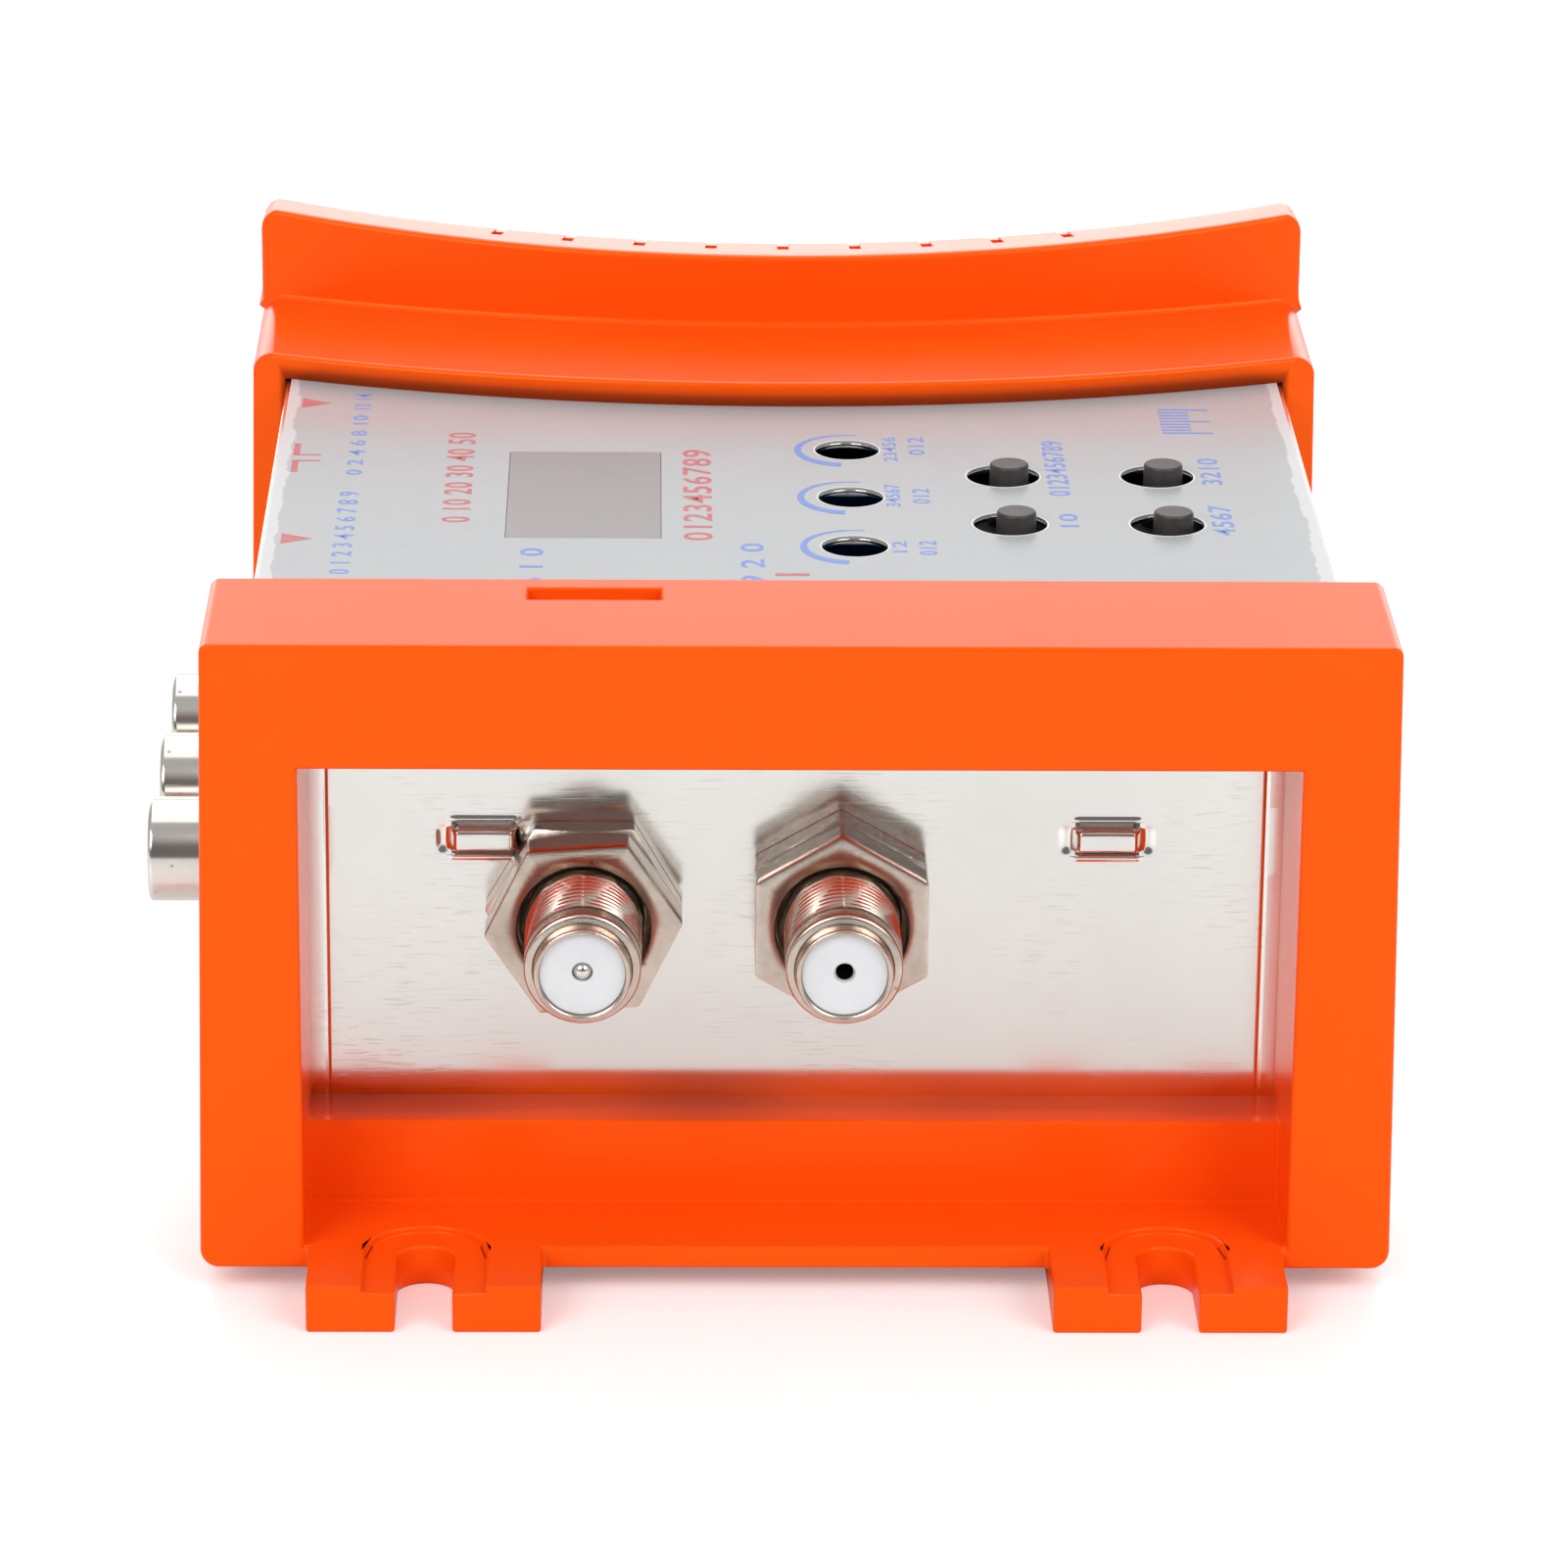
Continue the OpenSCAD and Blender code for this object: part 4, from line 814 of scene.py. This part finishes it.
INK_LIFT, INK_BASE = 0.02, -0.01     # top and foot of the ink, from the film's face
BOLD = 0.012                         # how much a figure's strokes are widened, as a share of its height
CRESCENT_RADIUS = 4.25
TRIMMERS = ("trimmer_front", "trimmer_middle", "trimmer_rear")

# Figures with their place on the label: x0, x1, y0, y1
BLUE_FIGURES = (
    ("0 2 4 6 8 10", -37.9, -36.5, 50.6, 67.7), ("12 14", -37.9, -36.5, 69.5, 74.0),
    ("0 1 2 3 4 5 6 7 8 9", -38.2, -36.5, 24.0, 45.9), ("5 6 1 0", -22.7, -20.7, 17.6, 30.8),
    ("8 9 2 0", -4.5, -2.5, 17.6, 32.3), ("23456", 8.1, 9.3, 55.0, 61.8), ("012", 10.3, 11.7, 56.8, 61.8),
    ("34567", 7.9, 9.2, 42.4, 48.4), ("012", 10.2, 11.7, 43.2, 47.3), ("12", 8.1, 9.3, 30.1, 33.0),
    ("012", 10.3, 11.8, 29.4, 33.1), ("0123456789", 21.8, 23.7, 45.5, 60.9), ("10", 22.3, 23.9, 37.0, 40.5),
    ("3210", 35.0, 36.8, 48.7, 56.0), ("4567", 35.0, 36.9, 34.9, 42.9))
RED_FIGURES = (("0 10 20 30 40 50", -29.4, -27.0, 37.7, 62.7), ("0123456789", -9.2, -6.7, 33.1, 58.0))
RED_BARS = ((-42.6, -42.05, 56.1, 59.4), (-42.05, -40.2, 56.1, 56.35), (-42.6, -42.05, 51.4, 54.7),
            (-42.05, -40.2, 54.45, 54.7))
ARROWS_Y = (33.2, 71.3)


def on_film(outline):
    """The foot and the top of a shape printed on the film."""
    n = len(outline)
    return np.concatenate([np.concatenate([outline, np.full((n, 1), LABEL_TOP + lift)], -1)
                           for lift in (INK_BASE, INK_LIFT)])


def flat_shape(outline):
    """A thin plate of ink with a drawn outline."""
    outline = np.asarray(outline, float)
    n = len(outline)
    k = np.arange(n)
    sides = np.stack([k, (k + 1) % n, (k + 1) % n + n, k + n], -1).tolist()
    return on_film(outline), sides + [list(range(n))[::-1], list(range(n, 2 * n))]


def bar(x0, x1, y0, y1):
    """A printed bar."""
    return flat_shape([(x0, y0), (x1, y0), (x1, y1), (x0, y1)])


def crescent(x, y):
    """A tapered arc round the left of a trimmer's hole: half its width grows from the top end down."""
    n = 40
    a = np.radians(np.linspace(78, 262, n))
    half = np.linspace(0.06, 0.48, n)
    outer, inner = (np.stack([x + r * np.cos(a), y + r * np.sin(a)], -1)
                    for r in (CRESCENT_RADIUS + half, CRESCENT_RADIUS - half))
    k = np.arange(n - 1)
    top = np.stack([k, k + 1, k + 1 + n, k + n], -1)
    faces = (top + 2 * n).tolist() + top[:, ::-1].tolist()
    faces += np.stack([k, k + 1, k + 1 + 2 * n, k + 2 * n], -1)[:, ::-1].tolist()
    faces += np.stack([k + n, k + 1 + n, k + 1 + 3 * n, k + 3 * n], -1).tolist()
    faces += [[0, n, 3 * n, 2 * n], [n - 1, 2 * n - 1, 4 * n - 1, 3 * n - 1]]
    return on_film(np.concatenate([outer, inner])), faces


def hole_rim(x, y, radius, width):
    """A thin pale ring where the film's cut edge shows round a hole."""
    inner, outer = radius + 0.01, radius + width
    return turned([(inner, LABEL_TOP - 0.15), (inner, LABEL_TOP + 0.02), (outer, LABEL_TOP + 0.02),
                   (outer, LABEL_TOP - 0.05)], upright(x, y), 72)


def figures(text, x0, x1, y0, y1):
    """Plain figures that read along Y, fitted to x0..x1 and y0..y1 as a mesh in drawing places."""
    curve = bpy.data.curves.new("figures", "FONT")
    curve.body = text
    curve.extrude = 0.01
    curve.offset = BOLD
    curve.space_character = 1.12
    curve.resolution_u = 3
    holder = bpy.data.objects.new("figures", curve)
    bpy.context.scene.collection.objects.link(holder)
    bpy.context.view_layer.update()
    evaluated = holder.evaluated_get(bpy.context.evaluated_depsgraph_get())
    mesh = bpy.data.meshes.new_from_object(evaluated)
    verts = np.zeros(len(mesh.vertices) * 3)
    mesh.vertices.foreach_get("co", verts)
    verts = verts.reshape(-1, 3)
    faces = [list(p.vertices) for p in mesh.polygons]
    bpy.data.objects.remove(holder)
    bpy.data.meshes.remove(mesh)
    low, high = verts.min(0), verts.max(0)
    share = (verts - low) / (high - low)
    return np.stack([x1 - (x1 - x0) * share[:, 1], y0 + (y1 - y0) * share[:, 0],
                     LABEL_TOP + INK_LIFT * (share[:, 2] - 0.4)], -1), faces


def hole_middle(node):
    """Middle of the label's hole over a button or a trimmer."""
    low, high = drawing_box(node)
    return (low[0] + high[0]) / 2 - 0.5, (low[1] + high[1]) / 2


def printed_marks():
    """The label's marks: input arrows, switch pictogram, scales of plain figures, arcs and hole rims."""
    blue = [crescent(*hole_middle(node)) for node in TRIMMERS]
    rims = [hole_rim(*hole_middle(node), 2.75, 0.15) for node in TRIMMERS]
    rims += [hole_rim(*hole_middle(node), 3.1, 0.16) for node in BUTTONS]
    blue += [figures(*run) for run in BLUE_FIGURES]
    for k, y in enumerate(np.linspace(63.4, 70.2, 9)):
        blue.append(bar(32.6, 32.6 + (4.4 if k % 4 == 0 else 2.6), y - 0.17, y + 0.17))
    red = [flat_shape([(-42.5, y - 1.35), (-40.0, y), (-42.5, y + 1.35)]) for y in ARROWS_Y]
    red += [bar(*box) for box in RED_BARS]
    red += [figures(*run) for run in RED_FIGURES] + [bar(-1.7, 1.1, 23.9, 24.5)]
    piece("label_blue_print", blue, BLUE_INK)
    piece("label_red_print", red, RED_INK)
    piece("label_hole_rims", rims, PALE_EDGE)


printed_marks()


# Floor, light and camera

FLOOR_HALF = 4.0


def floor():
    """A pale floor that keeps the object's shadow, and is lifted to white for the camera."""
    f = Finish("pale floor", IOR=1.45, Roughness=0.3, Emission_Color=(1, 1, 1, 1))
    f.set("Base Color", f.mix(f.mottle(8.0, 0.3), (0.86, 0.86, 0.86, 1), (0.9, 0.9, 0.9, 1)))
    seen = add(f.tree, "ShaderNodeLightPath").outputs["Is Camera Ray"]
    f.set("Emission Strength", times(f.tree, seen, 0.22))
    mesh = bpy.data.meshes.new("floor")
    corners = [(x * FLOOR_HALF, y * FLOOR_HALF, 0) for x, y in ((-1, -1), (1, -1), (1, 1), (-1, 1))]
    mesh.from_pydata(corners, [], [(0, 1, 2, 3)])
    made = bpy.data.objects.new("floor", mesh)
    bpy.context.scene.collection.objects.link(made)
    mesh.materials.append(f.material)


def look(place, forward, roll=0.0):
    """Matrix of a lamp or camera at a place that looks forward, turned about its own axis by roll degrees."""
    fw = np.array(forward, float) / np.linalg.norm(forward)
    right = np.cross(fw, (0, 0, 1))
    right /= np.linalg.norm(right)
    up = np.cross(right, fw)
    c, s = math.cos(math.radians(roll)), math.sin(math.radians(roll))
    right, up = c * right + s * up, c * up - s * right
    m = Matrix.Identity(4)
    for row in range(3):
        m[row][0], m[row][1], m[row][2], m[row][3] = right[row], up[row], -fw[row], place[row]
    return m


AIM = np.array([0.0, 0.0, 0.02])


def soft_box(name, place, size, power):
    """A large square lamp at a place, facing the object."""
    lamp = bpy.data.lights.new(name, "AREA")
    lamp.shape = "SQUARE"
    lamp.size = size
    lamp.energy = power
    made = bpy.data.objects.new(name, lamp)
    made.matrix_world = look(place, AIM - place)
    bpy.context.scene.collection.objects.link(made)


def surroundings():
    """White room, darker on the camera's side so that metal has something to show, with bright bands on the
    far side: one level with the camera's view, one low and one high."""
    world = bpy.data.worlds.new("white room")
    bpy.context.scene.world = world
    world.use_nodes = True
    tree = world.node_tree
    generated = add(tree, "ShaderNodeTexCoord").outputs["Generated"]
    way = add(tree, "ShaderNodeSeparateXYZ", {0: generated}).outputs
    aside = maths(tree, "ABSOLUTE", way[0])

    def band(room, grey, *edges):
        """The room turned grey where every edge's value has passed from its first limit to its second."""
        share = ramp(tree, *edges[0])
        for edge in edges[1:]:
            share = times(tree, share, ramp(tree, *edge))
        return mixed(tree, share, room, (grey, grey, grey, 1))

    camera_side = times(tree, ramp(tree, way[1], -0.35, -0.8), ramp(tree, way[2], 0.75, 0.45))
    room = mixed(tree, camera_side, (0.5, 0.5, 0.5, 1), (0.16, 0.15, 0.15, 1))
    room = band(room, 1.0, (way[1], 0.6, 0.85), (way[2], 0.5, 0.34))
    room = band(room, 3.0, (way[2], 0.42, 0.5), (way[2], 0.95, 0.85), (aside, 0.3, 0.15), (way[1], 0.3, 0.5))
    room = band(room, 2.5, (way[1], 0.8, 0.93), (way[2], 0.26, 0.18))
    background = tree.nodes["Background"]
    socket_in(tree, background.inputs["Color"], room)
    background.inputs["Strength"].default_value = 1.0


floor()
soft_box("left soft box", (-0.7, -0.95, 0.85), 0.8, 9.5)
soft_box("right soft box", (0.8, -0.85, 0.85), 0.8, 8.5)
soft_box("top soft box", (0.0, 0.2, 1.3), 0.9, 2.5)
surroundings()

# The camera, fitted to the photograph: focal length in pixels, place in drawing millimetres, turns in degrees
IMAGE_WIDTH, FOCAL_LENGTH = 1601, 7230.5
VIEWPOINT = (-12.08, -524.89, 236.73)
YAW, PITCH, ROLL = math.radians(1.174), math.radians(20.163), 0.566

camera = bpy.data.cameras.new("camera")
camera.sensor_width = 36.0
camera.lens = FOCAL_LENGTH / IMAGE_WIDTH * camera.sensor_width
camera.clip_start, camera.clip_end = 0.05, 20.0
viewer = bpy.data.objects.new("camera", camera)
bpy.context.scene.collection.objects.link(viewer)
forward = (math.sin(YAW) * math.cos(PITCH), math.cos(YAW) * math.cos(PITCH), -math.sin(PITCH))
viewer.matrix_world = look(metres(VIEWPOINT)[0], forward, ROLL)
bpy.context.scene.camera = viewer
bpy.context.scene.view_settings.view_transform = "Standard"
